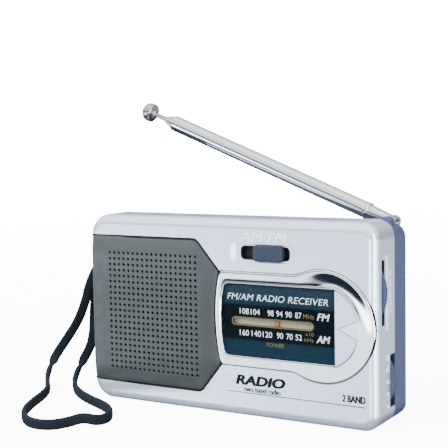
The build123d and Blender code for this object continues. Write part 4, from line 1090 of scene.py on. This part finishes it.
class Print:
    """Ink or raised marks gathered into one thin solid, laid on a plane of the case."""

    def __init__(self, spot):
        self.spot = spot
        self.verts = []
        self.faces = []

    def shape(self, points, faces, base, top):
        """A flat shape made into a thin solid between two heights over its plane."""
        first = len(self.verts)
        count = len(points)
        self.verts += [self.spot(x, z, top) for x, z in points]
        self.verts += [self.spot(x, z, base) for x, z in points]
        self.faces += [tuple(first + i for i in face) for face in faces]
        self.faces += [tuple(first + count + i for i in reversed(face)) for face in faces]
        low = first + count
        self.faces += [(first + b, first + a, low + a, low + b) for a, b in open_edges(faces)]

    def words(self, text, left, right, low, high, base=0.0, top=0.05, **style):
        """Words fitted between four limits, in millimetres."""
        points, faces, wide = text_shape(text, **style)
        fitted = [(left + x / wide * (right - left), low + y * (high - low)) for x, y in points]
        self.shape(fitted, faces, base, top)

    def bar(self, corners, base=0.0, top=0.05):
        """One flat shape with these corners."""
        self.shape(corners, [tuple(range(len(corners)))], base, top)

    def ring(self, outer, inner, base=0.0, top=0.05):
        """A closed band between two loops with matching points."""
        count = len(outer)
        faces = [(i, (i + 1) % count, count + (i + 1) % count, count + i) for i in range(count)]
        self.shape(outer + inner, faces, base, top)

    def piece(self, name, slot, ink):
        """Everything gathered so far, as one piece on the case."""
        made = link_mesh(name, self.verts, self.faces, smooth=False)
        mesh = bmesh.new()
        mesh.from_mesh(made.data)
        bmesh.ops.remove_doubles(mesh, verts=mesh.verts, dist=0.000001)
        bmesh.ops.recalc_face_normals(mesh, faces=mesh.faces)
        mesh.to_mesh(made.data)
        mesh.free()
        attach(made, "case")
        made.data.materials.append(ink)


def stadium_loop(left, right, middle, half, count=10):
    """Points round a slot shape with round ends."""
    near, far = (left + half, middle), (right - half, middle)
    return arc(far, half, 90, -90, count) + arc(near, half, 270, 90, count)


def dial_face(x, z, height):
    """A place over the printed dial plate."""
    return (x * MM, (DIAL_Y - height) * MM, z * MM)


def right_side(y, z, height):
    """A place over the case's right side."""
    return ((SIDE_X + height) * MM, y * MM, z * MM)


# The two scales' numbers: how high each row is, and where each number's middle lies
SCALES = [
    (37.6, [("108", 8.4), ("104", 12.9), ("98", 19.1), ("94", 22.6), ("90", 26.2), ("87", 30.0)]),
    (29.8, [("160", 8.3), ("140", 13.2), ("120", 17.7), ("90", 22.7), ("70", 26.5), ("52", 30.1)]),
]


def make_dial_print():
    """The dial's words and numbers, and the gold line round its slot."""
    white = Print(dial_face)
    white.words("FM/AM RADIO RECEIVER", 1.4, 41.5, 42.7, 45.0, shear=0.2, weight=-0.004, spacing=1.04)
    for base, numbers in SCALES:
        for text, middle in numbers:
            half = 0.62 * len(text)
            white.words(text, middle - half, middle + half, base, base + 2.1, weight=-0.002)
    for shift in (0.0, 0.12):
        white.words("FM", 37.2 + shift, 42.0 + shift, 37.4, 39.9, top=0.05 + shift / 20, shear=0.25)
        white.words("AM", 37.0 + shift, 42.1 + shift, 29.6, 32.1, top=0.05 + shift / 20, shear=0.25)
    white.piece("dial_numbers", "white_plastic", WHITE_INK)
    gold = Print(dial_face)
    for text, *limits in (
        ("MHz", 31.9, 36.2, 37.7, 39.3), ("x10", 32.6, 35.9, 31.6, 32.9),
        ("kHz", 32.3, 36.0, 29.6, 30.9), ("POWER", 17.3, 24.4, 26.5, 28.0),
    ):
        gold.words(text, *limits, weight=0.006)
    gold.ring(stadium_loop(3.1, 36.1, 35.0, 1.6), stadium_loop(3.55, 35.65, 35.0, 1.17))
    gold.piece("dial_scale_outline", "dial_print", GOLD_INK)


def make_front_print():
    """The words printed under the dial, and those raised over the band switch, coloured pale as a painted
    glint.
    """
    black = Print(front)
    for shift in (0.0, 0.22):
        top = 0.03 + shift / 20
        black.words("RADIO", 4.8 + shift, 24.9 + shift, 11.9, 15.6, shear=0.2, weight=0.04, top=top)
        black.words("two band radio", 8.2 + shift, 23.0 + shift, 9.6, 11.5, top=top)
        black.words("2 BAND", 46.9 + shift, 55.4 + shift, 10.2, 12.7, weight=0.02, top=top)
    black.bar([(1.6, 9.3), (1.6, 8.98), (55.6, 8.78), (55.6, 9.1)], top=0.03)
    black.piece("front_words", "black_plastic", BLACK_INK)
    raised = Print(front)
    raised.words("AM/FM", 7.7, 26.5, 63.9, 67.3, shear=0.25, base=-0.1, top=0.3)
    raised.piece("band_words", "silver_plastic", PAINTED_GLINT)


def make_side_marks():
    """Raised marks on the right side: a bar and a word by one wheel, growing bars by the other, coloured
    pale as a painted glint.
    """
    marks = Print(right_side)
    marks.bar([(-6.6, 34.4), (-6.0, 34.4), (-6.0, 60.3), (-6.6, 60.3)], base=-0.1, top=0.45)
    for k in range(5):
        low = 7.6 + k * 4.1
        tall = 0.7 + 0.3 * k
        marks.bar([(-6.2, low), (-4.8, low), (-4.8, low + tall), (-6.2, low + tall)], base=-0.1, top=0.3)
    marks.piece("side_marks", "silver_plastic", PAINTED_GLINT)
    turned_words = Print(lambda x, z, height: right_side(-3.2 - z, 47.5 + x, height))
    turned_words.words("TUNING", -7.5, 7.5, -0.75, 0.75, base=-0.1, top=0.25)
    turned_words.piece("tuning_words", "silver_plastic", PAINTED_GLINT)


make_dial_print()
make_front_print()
make_side_marks()

# ------------------------ studio

# How far the floor and the wall reach, in metres, and how brightly the wall glows
FLOOR_REACH = 6.0
WALL_REACH = 7.0
WALL_GLOW = 20.0
# The floor's glow under the object and far from it, and the distances between which it grows
FLOOR_GLOW = (9.5, 18.0)
FLOOR_GLOW_REACH = (0.1, 1.6)


def make_backdrop():
    """A pale floor and a far pale wall all round."""
    corners = [(x * FLOOR_REACH, y * FLOOR_REACH, 0) for x, y in ((-1, -1), (1, -1), (1, 1), (-1, 1))]
    floor = link_mesh("floor", corners, [(0, 1, 2, 3)])
    m = Nodes("floor")
    m.colour(m.ramp(m.noise(6, 2), [(0.3, (0.87, 0.89, 0.91)), (0.7, (0.89, 0.91, 0.93))]))
    away = m.add("ShaderNodeVectorMath", operation="LENGTH")
    m.join(m.coords, away.inputs[0])
    glow = m.span(away.outputs["Value"], FLOOR_GLOW_REACH, FLOOR_GLOW)
    m.join(glow, m.shader.inputs["Emission Strength"])
    m.set(Roughness=0.9, Specular_IOR_Level=0.1, Emission_Color=(1.0, 1.0, 1.0, 1.0))
    m.bump(m.noise(900, 2), 0.00001)
    floor.data.materials.append(m.owner)
    wall = link_mesh("backdrop", [], [], smooth=False)
    mesh = bmesh.new()
    bmesh.ops.create_uvsphere(mesh, u_segments=48, v_segments=24, radius=WALL_REACH)
    mesh.to_mesh(wall.data)
    mesh.free()
    m = Nodes("backdrop")
    m.colour(m.ramp(m.noise(1, 1), [(0.3, (0.9, 0.9, 0.9)), (0.7, (0.92, 0.92, 0.92))]))
    m.set(Emission_Color=(1.0, 1.0, 1.0, 1.0), Emission_Strength=WALL_GLOW, Roughness=1.0)
    wall.data.materials.append(m.owner)
    wall.visible_shadow = False
    for piece in (floor, wall):
        piece.visible_glossy = False
        piece.visible_diffuse = False


def soft_light(name, spot, aim, size, watts, mirrored=True):
    """A soft box, so wide and so tall, that faces a point and may show in reflections."""
    data = bpy.data.lights.new(name, "AREA")
    data.shape = "RECTANGLE"
    data.size, data.size_y = size
    data.energy = watts
    lamp = bpy.data.objects.new(name, data)
    lamp.location = spot
    direction = Vector(aim) - Vector(spot)
    lamp.rotation_euler = direction.to_track_quat("-Z", "Y").to_euler()
    lamp.visible_glossy = mirrored
    bpy.context.scene.collection.objects.link(lamp)


# Brightness of the studio by the sine of the height that a ray looks up at
STUDIO = [
    (-1.0, (0.50, 0.55, 0.63)),
    (-0.80, (0.40, 0.44, 0.50)),
    (-0.68, (0.30, 0.33, 0.38)),
    (-0.62, (0.02, 0.03, 0.05)),
    (-0.39, (0.02, 0.03, 0.05)),
    (-0.36, (0.16, 0.18, 0.22)),
    (-0.33, (1.00, 1.08, 1.20)),
    (-0.28, (2.40, 2.60, 2.85)),
    (-0.09, (2.40, 2.60, 2.85)),
    (-0.05, (0.20, 0.22, 0.26)),
    (0.22, (0.20, 0.22, 0.26)),
    (0.29, (1.30, 1.33, 1.38)),
    (0.44, (1.60, 1.63, 1.68)),
    (0.50, (2.40, 2.42, 2.46)),
    (0.58, (2.40, 2.42, 2.46)),
    (0.63, (1.00, 1.03, 1.07)),
    (0.69, (1.00, 1.03, 1.07)),
    (0.75, (2.40, 2.42, 2.46)),
    (1.0, (3.00, 3.00, 3.00)),
]
STUDIO_PEAK = 3.0
# Where it starts and ends to dim, as the sine of the turn to the back, and what is left there
STUDIO_DEPTH = (-0.5, 0.8)
STUDIO_BACK = 0.4
# Soft boxes in it: where each lies, the cosines of its edge and core, and its brightness
BOXES = [
    ((-0.670, -0.703, -0.24), (0.978, 0.992), 7.0),
    ((0.198, -0.966, -0.10), (0.965, 0.990), 16.0),
    ((0.975, -0.150, -0.15), (0.960, 0.985), 9.0),
]


def make_world():
    """Soft studio surroundings: bright walls and ceiling over a dark floor edge, dimmer at the back."""
    m = Nodes("studio", bpy.data.worlds, "Background", "Generated")
    stops = [((height + 1) / 2, shade(colour, 1 / STUDIO_PEAK)) for height, colour in STUDIO]
    m.join(m.ramp(m.span(m.axis("Z"), (-1, 1), (0, 1)), stops), m.shader.inputs["Color"])
    strength = m.span(m.axis("Y"), STUDIO_DEPTH, (STUDIO_PEAK, STUDIO_BACK * STUDIO_PEAK), "SMOOTHSTEP")
    for toward, cosines, brightness in BOXES:
        near = m.add("ShaderNodeVectorMath", operation="DOT_PRODUCT")
        near.inputs[1].default_value = toward
        m.join(m.coords, near.inputs[0])
        lobe = m.span(near.outputs["Value"], cosines, (0, brightness), "SMOOTHSTEP")
        strength = m.maths("ADD", strength, lobe)
    m.join(strength, m.shader.inputs["Strength"])
    bpy.context.scene.world = m.owner


make_backdrop()
soft_light("key", (-0.55, -0.75, 0.75), (0, 0, 0.04), (0.6, 0.6), 34.0, mirrored=False)
soft_light("edge", (0.86, -0.50, 0.1), (0.05, 0, 0.04), (0.2, 0.9), 16.0)
make_world()
